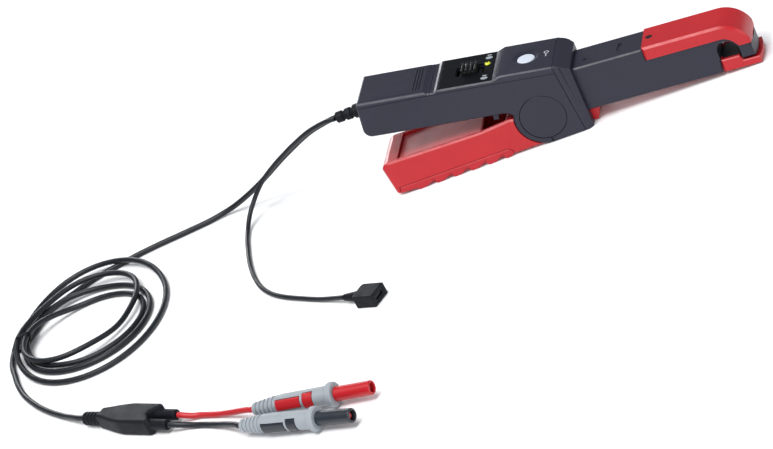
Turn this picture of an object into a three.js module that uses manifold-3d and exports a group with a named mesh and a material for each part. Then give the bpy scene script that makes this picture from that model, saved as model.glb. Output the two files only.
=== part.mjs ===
// Slim-jaw AC/DC clamp-meter probe on a signal lead, with a power cord for its adapter.
// Millimetres, +Z up. The probe stands on its lever and on the foot of its head, so the
// origin is the bottom centre of the probe without its cords, and +X points at the jaw tip.

import * as THREE from 'three';
import { mergeVertices } from 'three/addons/utils/BufferGeometryUtils.js';
import Module from 'manifold-3d';

const wasm = await Module();
wasm.setup();

// ---------------------------------------------------------------- driving dimensions

const GAP = 0.3; // between pieces that touch

// Stance: the handle frame has its origin on the pivot, X along the housing and Z out of the
// panel. It stands nose-down by PITCH, and the jaw frame is raised by JAW_TILT from it.
const PITCH = THREE.MathUtils.degToRad(10.7);
const JAW_TILT = THREE.MathUtils.degToRad(6.2);
const PIVOT = new THREE.Vector3(-14.03, 0, 17.1);
const FLOOR_DROP = 17.5; // from the pivot to the standing line, along the handle's Z

// Housing, in the handle frame
const HALF_WIDTH = 18;
const REAR_X = -103.4;
const BELLY_Z = 6.1;
const PANEL_Z = 28.3;
const HEAD_Z = 30.3;
const RAMP = { rear: -22.8, front: -18.2 };
const REAR_ROUND = 5;
const CHEEK_RADIUS = 17;
const FOOT = { x: 26.6, z: -12.42 };
const NOSE_TOP = { x: 21.6, z: 26.4 };
const WALL = 2.4;
const CHEEK_INNER = 14.6; // half width between the cheeks
const PARTING = { z: 26, rearZ: 25.2, coverX: -60 };
const BEZEL_REAR = { topX: 13.4, topZ: 25.3, footX: 21.9, footZ: -12.6 };
const BEZEL_GROOVE = { rear: 3.4, front: 4.4, depth: 0.7 };
const EDGE = 0.8; // small bevel on moulded edges
const COVER_ROUND = 3.2;

// Panel pieces
const LABEL = { rear: -54.4, front: -23.6, halfWidth: 16.8, thick: 0.5 };
const SLOT = { rear: -45.5, front: -29.5, halfWidth: 5 };
const KNOB = { x: -37.5, length: 9, width: 9.2, top: 31.2 };
const BUTTON = { x: -4.4, radius: 5.3, top: 29.8, dish: 8.3, dishDepth: 1.5 };
const LED = { x: -27.6, y: 4.4, radius: 1.7 };
const WINDOWS = { left: [-27.4, 11.3], right: [-28, -12.6] };
const WINDOW_SIZE = { length: 4.2, width: 2.8 };
const BOARD = { rear: -46, front: 6, shoulder: -41.5, halfWidth: 14, rearHalf: 8.5, z: 22.6, thick: 1.6 };
const BATTERY = { rear: -100.4, front: -54.4, halfWidth: 13.2, z: 8.8, thick: 16.4 };
const SCREW = { x: -45.6, y: 12.3, postRadius: 2.9, headRadius: 2.2, shankRadius: 1.1 };

// Pivot
const PIN_RADIUS = 3;
const COVER_DISC = { radius: 13.4, thick: 1.1 };
const SPRING = { y: 11.9, pitch: 1.45, wire: 0.65, radius: 5.2, turns: 2.5, leg: 9.5, start: 281.5 };

// Jaw, in the jaw frame
const JAW = { rear: 10, end: 105.9, bottom: -6.6, top: 21, halfWidth: 11.8, wall: 2.2 };
const WINDOW = { x: 112.3, z: 6.7, radius: 6.4, top: 12.2, right: 118.5 };
const POLE = { front: 127.2, bottom: -1.1 };
const CAP = { rear: 66, skirt: 14.2, top: 22, halfWidth: 12.5, wall: 1.3, bevel: 1.2 };
const NOSE = { x: 109.5, z: 4.5, radius: 17.5 };
const NOSE_PLAN_RADIUS = 46;
const CORE = { rear: 95.5, leg: 3.4, halfWidth: 6, top: 18.6, front: 124.5, bend: 15.3 };

// Lever
const LEVER = { halfWidth: 17.5, hubHalf: 9.2, clearRadius: 17.35, rimHalf: 15 };
const SOLE = { slope: Math.tan(PITCH), z: -FLOOR_DROP + 1.2, height: 4.2, rear: -92.4, front: -22 };
const RIDGES = { count: 6, first: -78.2, pitch: 10.7, length: 7.6, depth: 1.1, flank: 0.9 };
const SCOOPS = { count: 5, first: -71.6, rise: 2.7, depth: 1.3 };
const ARM = { bottom: -6.4, top: 0.9, halfWidth: 8.8 };
const PRONG = { rear: 106.2, front: 129.2, bottom: -6.5, top: 1.1, step: -2.3, halfWidth: 11.8 };

// Cords and the pieces on them, in the part frame
const LEAD_DIAMETER = 3.4;
const POWER_DIAMETER = 2.8;
const LEAD_FLOOR = 1.8; // height of the lead's middle where it lies
const POWER_FLOOR = 1.5;
const COIL = { height: 11.6 };
const TIE = { x0: -362, x1: -347, y0: -46, y1: -42.6, z0: 0.9, z1: 9.6, thick: 0.7 };

// ---------------------------------------------------------------- helpers

const point = (x, z) => new THREE.Vector2(x, z);
const degrees = THREE.MathUtils.degToRad;

function outline(points) {
  return new THREE.Shape(points.map(([x, z]) => point(x, z)));
}

// Extrudes an outline drawn in X and Z to both sides of the middle plane.
function acrossY(shape, halfWidth, bevel = 0, curveSegments = 12) {
  const geometry = new THREE.ExtrudeGeometry(shape, {
    depth: 2 * (halfWidth - bevel),
    curveSegments,
    bevelEnabled: bevel > 0,
    bevelThickness: bevel,
    bevelSize: bevel,
    bevelOffset: -bevel,
    bevelSegments: 1,
  });
  geometry.translate(0, 0, -(halfWidth - bevel));
  geometry.rotateX(Math.PI / 2);
  return geometry;
}

// Extrudes an outline drawn in Y and Z along X.
function alongX(shape, rear, front) {
  const geometry = new THREE.ExtrudeGeometry(shape, {
    depth: front - rear,
    bevelEnabled: false,
    curveSegments: 6,
  });
  const turn = new THREE.Matrix4().makeBasis(
    new THREE.Vector3(0, 1, 0),
    new THREE.Vector3(0, 0, 1),
    new THREE.Vector3(1, 0, 0),
  );
  geometry.applyMatrix4(turn);
  geometry.translate(rear, 0, 0);
  return geometry;
}

// Extrudes an outline drawn in X and Y upwards.
function alongZ(shape, bottom, top, bevel = 0, curveSegments = 8) {
  const geometry = new THREE.ExtrudeGeometry(shape, {
    depth: top - bottom - 2 * bevel,
    curveSegments,
    bevelEnabled: bevel > 0,
    bevelThickness: bevel,
    bevelSize: bevel,
    bevelOffset: -bevel,
    bevelSegments: 2,
  });
  geometry.translate(0, 0, bottom + bevel);
  return geometry;
}

function box(x0, x1, y0, y1, z0, z1) {
  const geometry = new THREE.BoxGeometry(x1 - x0, y1 - y0, z1 - z0);
  geometry.translate((x0 + x1) / 2, (y0 + y1) / 2, (z0 + z1) / 2);
  return geometry;
}

// A cylinder across the part, along Y, from one y to another.
function rodY(x, z, radius, y0, y1, sides = 32) {
  const geometry = new THREE.CylinderGeometry(radius, radius, y1 - y0, sides);
  geometry.translate(x, (y0 + y1) / 2, z);
  return geometry;
}

function rodZ(x, y, radius, z0, z1, sides = 24) {
  const geometry = new THREE.CylinderGeometry(radius, radius, z1 - z0, sides);
  geometry.rotateX(Math.PI / 2);
  geometry.translate(x, y, (z0 + z1) / 2);
  return geometry;
}

function ellipse(x, y, length, width) {
  const shape = new THREE.Shape();
  shape.absellipse(x, y, length / 2, width / 2, 0, 2 * Math.PI, false, 0);
  return shape;
}

function solid(geometry) {
  const plain = geometry.clone();
  plain.deleteAttribute('normal');
  plain.deleteAttribute('uv');
  const merged = mergeVertices(plain, 1e-4);
  const mesh = new wasm.Mesh({
    numProp: 3,
    vertProperties: merged.attributes.position.array,
    triVerts: Uint32Array.from(merged.index.array),
  });
  return new wasm.Manifold(mesh);
}

function join(...geometries) {
  return geometries.map(solid).reduce((whole, piece) => whole.add(piece));
}

function cut(body, ...geometries) {
  return geometries.map(solid).reduce((rest, tool) => rest.subtract(tool), body);
}

function geometryOf(manifold) {
  const mesh = manifold.getMesh();
  const geometry = new THREE.BufferGeometry();
  geometry.setAttribute('position', new THREE.BufferAttribute(mesh.vertProperties, 3));
  geometry.setIndex(new THREE.BufferAttribute(mesh.triVerts, 1));
  geometry.computeVertexNormals();
  return geometry;
}

function finish(colour, roughness, metalness = 0) {
  return new THREE.MeshStandardMaterial({ color: colour, roughness, metalness });
}

function piece(name, shape, material) {
  const geometry = shape.isBufferGeometry ? shape : geometryOf(shape);
  const mesh = new THREE.Mesh(geometry, material);
  mesh.name = name;
  return mesh;
}

const tiltedUp = (geometry) => geometry.rotateY(-JAW_TILT);

// ---------------------------------------------------------------- finishes

const CHARCOAL = finish(0x3e3e4a, 0.6);
const LABEL_BLACK = finish(0x2c3034, 0.5);
const RED = finish(0xc83237, 0.42);
const RED_SOLE = finish(0xbe2c33, 0.6);
const WHITE = finish(0xd7dce6, 0.35);
const LED_LENS = finish(0xd7e146, 0.2);
const GREY_INK = finish(0xaab2b8, 0.5);
const STEEL = finish(0x9a9da2, 0.35, 0.9);
const CORE_STEEL = finish(0x6a6c70, 0.5, 0.7);
const COPPER = finish(0xb4632f, 0.4, 0.8);
const BOARD_GREEN = finish(0x1d5a38, 0.5);
const BLACK = finish(0x1c1d20, 0.55);
const BATTERY_CASE = finish(0x44484c, 0.4, 0.3);
const CORD_BLACK = finish(0x2c2f33, 0.65);
const HANDLE_GREY = finish(0xb2b8be, 0.6);

// ---------------------------------------------------------------- housing blank

function housingOutline() {
  const cheekStart = degrees(167);
  const cheekEnd = degrees(280.3);
  const shape = new THREE.Shape();
  shape.moveTo(REAR_X, BELLY_Z + REAR_ROUND);
  shape.absarc(REAR_X + REAR_ROUND, BELLY_Z + REAR_ROUND, REAR_ROUND, Math.PI, 1.5 * Math.PI, false);
  shape.lineTo(-22, BELLY_Z);
  shape.quadraticCurveTo(-18, 5.8, CHEEK_RADIUS * Math.cos(cheekStart), CHEEK_RADIUS * Math.sin(cheekStart));
  shape.absarc(0, 0, CHEEK_RADIUS, cheekStart, cheekEnd, false);
  shape.lineTo(FOOT.x, FOOT.z);
  shape.lineTo(NOSE_TOP.x, NOSE_TOP.z);
  shape.lineTo(17, 29.2);
  shape.lineTo(13, HEAD_Z);
  shape.lineTo(RAMP.front, HEAD_Z);
  shape.lineTo(RAMP.rear, PANEL_Z);
  shape.lineTo(-55.8, PANEL_Z);
  shape.lineTo(-57.5, PANEL_Z - 1.1);
  shape.lineTo(-62, PANEL_Z - 1.1);
  shape.lineTo(-64.4, PANEL_Z);
  shape.lineTo(REAR_X + 1.2, PANEL_Z);
  shape.lineTo(REAR_X, PANEL_Z - 1.2);
  return shape;
}

// The rounded upper edges of the battery cover, cut away on both sides.
function coverEdgeCutters() {
  return [1, -1].map((side) => {
    const corner = new THREE.Shape();
    corner.moveTo(1, 1);
    corner.lineTo(1, -COVER_ROUND);
    corner.lineTo(0, -COVER_ROUND);
    corner.absarc(-COVER_ROUND, -COVER_ROUND, COVER_ROUND, 0, Math.PI / 2, false);
    corner.lineTo(-COVER_ROUND, 1);
    const cutter = alongX(corner, REAR_X - 1, -61.5);
    cutter.translate(0, HALF_WIDTH, PANEL_Z);
    if (side < 0) {
      cutter.rotateZ(Math.PI);
      cutter.translate(REAR_X - 62.5, 0, 0);
    }
    return cutter;
  });
}

const housingBlank = cut(solid(acrossY(housingOutline(), HALF_WIDTH, EDGE, 10)), ...coverEdgeCutters());

const bezelRearX = (z) =>
  BEZEL_REAR.footX
  + ((z - BEZEL_REAR.footZ) * (BEZEL_REAR.topX - BEZEL_REAR.footX)) / (BEZEL_REAR.topZ - BEZEL_REAR.footZ);

// The part of the blank inside an outline drawn in X and Z.
function blankWithin(points) {
  return housingBlank.intersect(solid(acrossY(outline(points), HALF_WIDTH + 5)));
}

// ---------------------------------------------------------------- housing pieces

function lowerShell() {
  const half = GAP / 2;
  const shell = blankWithin([
    [-110, -30],
    [bezelRearX(-30) - half, -30],
    [bezelRearX(PARTING.z) - half, PARTING.z - half],
    [PARTING.coverX, PARTING.z - half],
    [-110, PARTING.rearZ - half],
  ]);
  const bay = outline([
    [REAR_X + WALL, BELLY_Z + WALL],
    [-26, BELLY_Z + WALL],
    [-26, 40],
    [REAR_X + WALL, 40],
  ]);
  const chamber = outline([[-26, -30], [40, -30], [40, 40], [-26, 40]]);
  const gland = new THREE.CylinderGeometry(3.9, 3.9, 12, 20);
  gland.rotateZ(Math.PI / 2);
  gland.rotateY(-PITCH);
  gland.translate(REAR_X, 0, 16.5);
  const hollow = cut(
    shell,
    acrossY(bay, HALF_WIDTH - WALL),
    acrossY(chamber, CHEEK_INNER),
    rodY(0, 0, COVER_DISC.radius + GAP, HALF_WIDTH - COVER_DISC.thick - GAP, HALF_WIDTH + 1, 48),
    rodY(0, 0, COVER_DISC.radius + GAP, -HALF_WIDTH - 1, -HALF_WIDTH + COVER_DISC.thick + GAP, 48),
    rodY(0, 0, PIN_RADIUS + GAP, -HALF_WIDTH - 1, HALF_WIDTH + 1, 24),
    box(1.4, 2.8, -HALF_WIDTH - 1, -HALF_WIDTH + 1, -16, -13),
    gland,
  );
  const posts = [1, -1].map((side) => rodZ(SCREW.x, side * SCREW.y, SCREW.postRadius, BELLY_Z + 1, 22.2, 16));
  const stops = [1, -1].map((side) => {
    const middle = side * 12.4;
    return box(-28.5, -25.5, middle - 2.2, middle + 2.2, 1.8, BELLY_Z + 1.5);
  });
  const joined = hollow.add(join(...posts, ...stops));
  const screwHoles = [1, -1].flatMap((side) => [
    rodZ(SCREW.x, side * SCREW.y, SCREW.headRadius + GAP, BELLY_Z - 1, BELLY_Z + 1.8, 20),
    rodZ(SCREW.x, side * SCREW.y, SCREW.shankRadius + GAP, BELLY_Z, 18.5, 12),
  ]);
  return cut(joined, ...screwHoles);
}

function topPanel() {
  const half = GAP / 2;
  const panel = blankWithin([
    [PARTING.coverX + half, PARTING.z + half],
    [bezelRearX(PARTING.z) - half, PARTING.z + half],
    [bezelRearX(40) - half, 40],
    [PARTING.coverX + half, 40],
  ]);
  const seat = box(
    LABEL.rear - GAP,
    LABEL.front + GAP,
    -LABEL.halfWidth - GAP,
    LABEL.halfWidth + GAP,
    PANEL_Z - LABEL.thick - GAP,
    PANEL_Z + 1,
  );
  const bowl = new THREE.LatheGeometry(bowlProfile(), 32);
  bowl.rotateX(Math.PI / 2);
  bowl.translate(BUTTON.x, 0, HEAD_Z);
  return cut(
    panel,
    seat,
    bowl,
    rodZ(BUTTON.x, 0, BUTTON.radius + GAP, 20, 40, 32),
    box(SLOT.rear, SLOT.front, -SLOT.halfWidth, SLOT.halfWidth, 20, 40),
    rodZ(LED.x, LED.y, LED.radius + GAP, 20, 40, 16),
  );
}

// Half section of the dish around the button, from its depth up to just above the head.
function bowlProfile() {
  const radius = (BUTTON.dish ** 2 + BUTTON.dishDepth ** 2) / (2 * BUTTON.dishDepth);
  const centre = radius - BUTTON.dishDepth;
  const profile = [];
  for (let step = 0; step <= 5; step += 1) {
    const across = (BUTTON.dish * step) / 5;
    profile.push(point(across, centre - Math.sqrt(radius ** 2 - across ** 2)));
  }
  profile.push(point(BUTTON.dish, 1));
  profile.push(point(0, 1));
  return profile;
}

function labelPlate() {
  const { rear, front, halfWidth, thick } = LABEL;
  const plate = solid(box(rear, front, -halfWidth, halfWidth, PANEL_Z - thick, PANEL_Z));
  const windows = Object.values(WINDOWS).map(([x, y]) =>
    alongZ(ellipse(x, y, WINDOW_SIZE.length + 2 * GAP, WINDOW_SIZE.width + 2 * GAP), 20, 40));
  return cut(
    plate,
    box(SLOT.rear - GAP, SLOT.front + GAP, -SLOT.halfWidth - GAP, SLOT.halfWidth + GAP, 20, 40),
    rodZ(LED.x, LED.y, LED.radius + GAP, 20, 40, 16),
    ...windows,
  );
}

function rangeWindow([x, y]) {
  return alongZ(ellipse(x, y, WINDOW_SIZE.length, WINDOW_SIZE.width), PANEL_Z - LABEL.thick, PANEL_Z + 0.1);
}

function batteryCover() {
  const half = GAP / 2;
  const lid = blankWithin([
    [-110, PARTING.rearZ + half],
    [PARTING.coverX - half, PARTING.z + half],
    [PARTING.coverX - half, 40],
    [-110, 40],
  ]);
  const pocket = box(REAR_X + WALL, -62.5, -14, 14, 20, PANEL_Z - 2.1);
  const ridges = [];
  for (let row = 0; row < 3; row += 1) {
    const x = -70.2 + 1.7 * row;
    ridges.push(box(x, x + 0.7, -13, 13, PANEL_Z - 0.5, 40));
  }
  return cut(lid, pocket, ...ridges);
}

// The shallow groove that runs down both sides of the bezel and over its top.
function bezelGroove() {
  const { rear, front, depth } = BEZEL_GROOVE;
  const band = outline([
    [bezelRearX(-30) + rear, -30],
    [bezelRearX(-30) + front, -30],
    [bezelRearX(40) + front, 40],
    [bezelRearX(40) + rear, 40],
  ]);
  const sides = [1, -1].map((side) => {
    const cutter = acrossY(band, 3);
    cutter.translate(0, side * (HALF_WIDTH + 3 - depth), 0);
    return cutter;
  });
  const top = solid(acrossY(band, 30)).intersect(solid(box(-60, 60, -30, 30, HEAD_Z - depth, 60)));
  return { sides, top };
}

function frontBezel() {
  const half = GAP / 2;
  const groove = bezelGroove();
  const collar = blankWithin([
    [bezelRearX(-30) + half, -30],
    [60, -30],
    [60, 40],
    [bezelRearX(40) + half, 40],
  ]);
  const lean = Math.atan((FOOT.x - NOSE_TOP.x) / (NOSE_TOP.z - FOOT.z));
  const tapers = [1, -1].map((side) => {
    const wedge = new THREE.Shape([
      point(-5.6, side * 18.1),
      point(-2.2, side * 17.2),
      point(0.1, side * 15.4),
      point(5, side * 15.4),
      point(5, side * 22),
      point(-5.6, side * 22),
    ]);
    const cutter = alongZ(wedge, -60, 60);
    cutter.rotateY(-lean);
    cutter.translate(FOOT.x, 0, FOOT.z);
    return cutter;
  });
  const beamHalf = JAW.halfWidth + GAP;
  const beamHole = tiltedUp(box(0, 60, -beamHalf, beamHalf, JAW.bottom - GAP, JAW.top + GAP));
  const hubSlot = box(0, 60, -LEVER.hubHalf - GAP, LEVER.hubHalf + GAP, -40, 10);
  return cut(collar, ...tapers, beamHole, hubSlot, ...groove.sides).subtract(groove.top);
}

// A round disc over one end of the pivot, from one y to another.
function pivotCover(y0, y1) {
  return rodY(0, 0, COVER_DISC.radius, y0, y1, 48);
}

function circuitBoard() {
  const { rear, front, shoulder, halfWidth, rearHalf, z, thick } = BOARD;
  const shape = outline([
    [rear, -rearHalf],
    [shoulder, -rearHalf],
    [shoulder, -halfWidth],
    [front, -halfWidth],
    [front, halfWidth],
    [shoulder, halfWidth],
    [shoulder, rearHalf],
    [rear, rearHalf],
  ]);
  return alongZ(shape, z, z + thick);
}

function switchKnob() {
  const { x, length, width, top } = KNOB;
  const body = solid(box(x - length / 2, x + length / 2, -width / 2, width / 2, PANEL_Z - 1.6, top));
  const grooves = [];
  for (let row = 0; row < 3; row += 1) {
    const middle = x - 2.6 + 2.6 * row;
    grooves.push(box(middle - 0.6, middle + 0.6, -width, width, top - 1.5, top + 1));
  }
  return cut(body, ...grooves);
}

function zeroButton() {
  const profile = [
    point(0, BOARD.z + BOARD.thick + 1.9),
    point(BUTTON.radius, BOARD.z + BOARD.thick + 1.9),
    point(BUTTON.radius, BUTTON.top - 0.9),
    point(BUTTON.radius - 0.35, BUTTON.top - 0.35),
    point(BUTTON.radius - 1, BUTTON.top - 0.1),
    point(0, BUTTON.top),
  ];
  const geometry = new THREE.LatheGeometry(profile, 32);
  geometry.rotateX(Math.PI / 2);
  geometry.translate(BUTTON.x, 0, 0);
  return geometry;
}

function statusLed() {
  const profile = [
    point(0, 25.4),
    point(LED.radius, 25.4),
    point(LED.radius, PANEL_Z + 0.1),
    point(LED.radius * 0.7, PANEL_Z + 0.7),
    point(0, PANEL_Z + 0.95),
  ];
  const geometry = new THREE.LatheGeometry(profile, 20);
  geometry.rotateX(Math.PI / 2);
  geometry.translate(LED.x, LED.y, 0);
  return geometry;
}

function battery() {
  const { rear, front, halfWidth, z, thick } = BATTERY;
  const block = alongX(roundedBlock(halfWidth, z, z + thick, 1.6), rear, front);
  const studs = [1, -1].map((side) => {
    const stud = new THREE.CylinderGeometry(side > 0 ? 2.9 : 2.5, side > 0 ? 2.9 : 2.5, 3, 12);
    stud.rotateZ(Math.PI / 2);
    stud.translate(front + 1.2, side * 6.35, z + thick / 2);
    return stud;
  });
  return join(block, ...studs);
}

// A rounded rectangle in Y and Z.
function roundedBlock(half, low, high, radius) {
  const shape = new THREE.Shape();
  shape.moveTo(-half + radius, low);
  shape.lineTo(half - radius, low);
  shape.absarc(half - radius, low + radius, radius, -Math.PI / 2, 0, false);
  shape.lineTo(half, high - radius);
  shape.absarc(half - radius, high - radius, radius, 0, Math.PI / 2, false);
  shape.lineTo(-half + radius, high);
  shape.absarc(-half + radius, high - radius, radius, Math.PI / 2, Math.PI, false);
  shape.lineTo(-half, low + radius);
  shape.absarc(-half + radius, low + radius, radius, Math.PI, 1.5 * Math.PI, false);
  return shape;
}

function snapConnector() {
  const front = BATTERY.front + 2.7 + GAP;
  return alongX(roundedBlock(12.2, BATTERY.z + 2.4, BATTERY.z + BATTERY.thick - 2.4, 2), front, front + 2);
}

function housingScrew(side) {
  const head = rodZ(SCREW.x, side * SCREW.y, SCREW.headRadius, BELLY_Z + 0.3, BELLY_Z + 1.5, 16);
  const shank = rodZ(SCREW.x, side * SCREW.y, SCREW.shankRadius, BELLY_Z + 1, 17.5, 10);
  const cross = [0, 90].map((turn) => {
    const slot = box(-1.4, 1.4, -0.3, 0.3, BELLY_Z, BELLY_Z + 0.9);
    slot.rotateZ(degrees(turn));
    slot.translate(SCREW.x, side * SCREW.y, 0);
    return slot;
  });
  return cut(join(head, shank), ...cross);
}

// ---------------------------------------------------------------- pivot pieces

function pivotSpring() {
  const { wire, radius, turns, leg, pitch, y } = SPRING;
  const points = [];
  const start = degrees(SPRING.start);
  const startDirection = new THREE.Vector3(Math.cos(start), 0, Math.sin(start));
  const along = new THREE.Vector3(-Math.sin(start), 0, Math.cos(start));
  const first = startDirection.clone().multiplyScalar(radius);
  const halfLength = (turns * pitch) / 2;
  points.push(first.clone().addScaledVector(along, leg * -1).setY(y - halfLength));
  points.push(first.clone().addScaledVector(along, leg * -0.5).setY(y - halfLength));
  const steps = 26;
  for (let step = 0; step <= steps; step += 1) {
    const turn = start + (2 * Math.PI * turns * step) / steps;
    const height = y - halfLength + (turns * pitch * step) / steps;
    points.push(new THREE.Vector3(radius * Math.cos(turn), height, radius * Math.sin(turn)));
  }
  const end = start + 2 * Math.PI * turns;
  const last = points[points.length - 1];
  const away = new THREE.Vector3(-Math.sin(end), 0, Math.cos(end));
  points.push(last.clone().addScaledVector(away, leg * 0.5));
  points.push(last.clone().addScaledVector(away, leg));
  return wireAlong(points, wire, 6, 60);
}

// A round wire or cord along a smooth curve through the points.
function wireAlong(points, radius, sides, steps) {
  const curve = new THREE.CatmullRomCurve3(points, false, 'centripetal');
  const section = new THREE.Shape();
  for (let side = 0; side < sides; side += 1) {
    const turn = (2 * Math.PI * side) / sides;
    const x = radius * Math.cos(turn);
    const y = radius * Math.sin(turn);
    if (side === 0) {
      section.moveTo(x, y);
    } else {
      section.lineTo(x, y);
    }
  }
  return new THREE.ExtrudeGeometry(section, { steps, bevelEnabled: false, extrudePath: curve });
}

// ---------------------------------------------------------------- fixed jaw, in the jaw frame

function noseArc(shape, inset, lowest) {
  const radius = NOSE.radius - inset;
  const first = Math.asin((lowest - NOSE.z) / radius);
  shape.absarc(NOSE.x, NOSE.z, radius, first, Math.PI / 2, false);
}

// The conductor window: straight sides, a round rear corner and a longer sweep in front.
function windowOutline() {
  const shape = new THREE.Shape();
  shape.moveTo(JAW.end, -20);
  shape.lineTo(POLE.front + 10, -20);
  shape.lineTo(POLE.front + 10, POLE.bottom);
  shape.lineTo(WINDOW.right - 0.2, POLE.bottom);
  shape.lineTo(WINDOW.right, WINDOW.z);
  shape.quadraticCurveTo(WINDOW.right - 3, WINDOW.top, WINDOW.x - 0.5, WINDOW.top);
  const corner = Math.PI - Math.asin((WINDOW.top - WINDOW.z) / WINDOW.radius);
  shape.absarc(WINDOW.x, WINDOW.z, WINDOW.radius, corner, Math.PI, false);
  shape.lineTo(JAW.end, 1.4);
  return shape;
}

function plannedNose(front) {
  const cylinder = new THREE.CylinderGeometry(NOSE_PLAN_RADIUS, NOSE_PLAN_RADIUS, 80, 128);
  cylinder.rotateX(Math.PI / 2);
  cylinder.translate(front - NOSE_PLAN_RADIUS, 0, 0);
  const rear = box(-80, front - 20, -40, 40, -40, 40);
  return join(cylinder, rear);
}

function jawBeam() {
  const capTop = CAP.top - CAP.wall - GAP;
  const inset = CAP.wall + GAP;
  const shape = new THREE.Shape();
  shape.moveTo(JAW.rear, JAW.bottom);
  shape.lineTo(JAW.end - 0.9, JAW.bottom);
  shape.lineTo(JAW.end, 1.4);
  shape.lineTo(JAW.end + 8, POLE.bottom);
  shape.lineTo(POLE.front, POLE.bottom);
  shape.lineTo(POLE.front, 7.3);
  noseArc(shape, inset, 7.3);
  shape.lineTo(CAP.rear - GAP, capTop);
  shape.lineTo(CAP.rear - GAP, JAW.top);
  shape.lineTo(JAW.rear, JAW.top);
  const blank = solid(acrossY(shape, JAW.halfWidth, EDGE, 10)).intersect(plannedNose(POLE.front));
  const capSeat = capOutline(GAP);
  const seatCuts = [1, -1].map((side) => {
    const cutter = acrossY(capSeat, 2, 0, 10);
    cutter.translate(0, side * (CAP.halfWidth - CAP.wall - GAP + 2), 0);
    return cutter;
  });
  const channel = box(0, 102.6, -JAW.halfWidth + JAW.wall, JAW.halfWidth - JAW.wall, -20, JAW.top - JAW.wall);
  const armSlot = box(100, 110, -ARM.halfWidth - 0.6, ARM.halfWidth + 0.6, -20, 1.4);
  const coreTunnel = acrossY(coreOutline(GAP), CORE.halfWidth + GAP, 0, 5);
  return cut(
    blank,
    acrossY(windowOutline(), 30, 0, 14),
    ...seatCuts,
    channel,
    armSlot,
    coreTunnel,
    rodZ(CAP.rear + 3.8, 0, 1.5, 10, 30, 12),
    rodZ(31.4, -3.7, 1.1, JAW.top - 1, 30, 12),
    alongZ(ellipse(52, -1.5, 3.2, 11), JAW.top - 0.5, 30),
  );
}

// Side outline of the nose cap, grown by a margin.
function capOutline(margin) {
  const shape = new THREE.Shape();
  shape.moveTo(CAP.rear - margin, CAP.skirt - margin);
  shape.lineTo(110.5 - margin, CAP.skirt - margin);
  shape.quadraticCurveTo(115 - margin, CAP.skirt - margin, 119 - margin, 7.6 - margin);
  const radius = NOSE.radius + margin;
  const first = Math.asin((7.6 - margin - NOSE.z) / radius);
  shape.absarc(NOSE.x, NOSE.z, radius, first, Math.PI / 2, false);
  shape.lineTo(CAP.rear - margin, CAP.top + margin);
  return shape;
}

function noseCap() {
  const hull = new THREE.Shape();
  hull.moveTo(CAP.rear, -10);
  hull.lineTo(NOSE.x + NOSE.radius, -10);
  hull.absarc(NOSE.x, NOSE.z, NOSE.radius, 0, Math.PI / 2, false);
  hull.lineTo(CAP.rear, CAP.top);
  const blank = solid(acrossY(hull, CAP.halfWidth, CAP.bevel, 12))
    .intersect(solid(acrossY(capOutline(0), CAP.halfWidth + 1, 0, 10)))
    .intersect(plannedNose(POLE.front + 0.3));
  const inner = new THREE.Shape();
  inner.moveTo(CAP.rear - 10, -10);
  inner.lineTo(NOSE.x + NOSE.radius - CAP.wall - 0.1, -10);
  noseArc(inner, CAP.wall, 5.5);
  inner.lineTo(CAP.rear - 10, CAP.top - CAP.wall);
  return cut(
    blank,
    acrossY(inner, CAP.halfWidth - CAP.wall, 0, 12),
    rodZ(CAP.rear + 3.8, 0, 1.5, 10, 30, 12),
    rodZ(CAP.rear + 3.8, 0, 2.2, CAP.top - 0.7, 30, 20),
  );
}

function capScrew() {
  const x = CAP.rear + 3.8;
  const head = rodZ(x, 0, 1.9, CAP.top - 0.4, CAP.top - 0.05, 16);
  const shank = rodZ(x, 0, 1.2, 14, CAP.top - 0.2, 12);
  const cross = [0, 90].map((turn) => {
    const slot = box(-1.1, 1.1, -0.25, 0.25, CAP.top - 0.3, CAP.top + 1);
    slot.rotateZ(degrees(turn));
    slot.translate(x, 0, 0);
    return slot;
  });
  return cut(join(head, shank), ...cross);
}

// The C of the upper core, bent round the nose, grown by a margin.
function coreOutline(margin) {
  const { rear, leg, top, front, bend } = CORE;
  const outer = bend + margin;
  const inner = bend - leg - margin;
  const high = top + margin;
  const low = top - leg - margin;
  const ahead = front + margin;
  const behind = front - leg - margin;
  const shape = new THREE.Shape();
  shape.moveTo(rear - margin, 3.6 - margin);
  shape.lineTo(rear + leg + margin, 3.6 - margin);
  shape.lineTo(rear + leg + margin, low);
  const innerLow = Math.asin((low - NOSE.z) / inner);
  const innerBehind = Math.acos((behind - NOSE.x) / inner);
  shape.absarc(NOSE.x, NOSE.z, inner, innerLow, innerBehind, true);
  shape.lineTo(behind, POLE.bottom + 0.2 - margin);
  shape.lineTo(ahead, POLE.bottom + 0.2 - margin);
  const outerAhead = Math.acos((ahead - NOSE.x) / outer);
  const outerHigh = Math.asin((high - NOSE.z) / outer);
  shape.absarc(NOSE.x, NOSE.z, outer, outerAhead, outerHigh, false);
  shape.lineTo(rear - margin, high);
  return shape;
}

function upperCore() {
  return acrossY(coreOutline(0), CORE.halfWidth, 0, 5);
}

function hallSensor() {
  return box(CORE.rear, CORE.rear + CORE.leg, -2.5, 2.5, 1.9, 3.3);
}

function sensorCoil() {
  const middle = CORE.rear + CORE.leg / 2;
  const winding = solid(alongZ(roundedPlan(middle, 0, 8, 17, 1.6), 5, 14.4));
  const { rear, leg, halfWidth } = CORE;
  return cut(winding, box(rear - GAP, rear + leg + GAP, -halfWidth - GAP, halfWidth + GAP, 0, 20));
}

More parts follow.
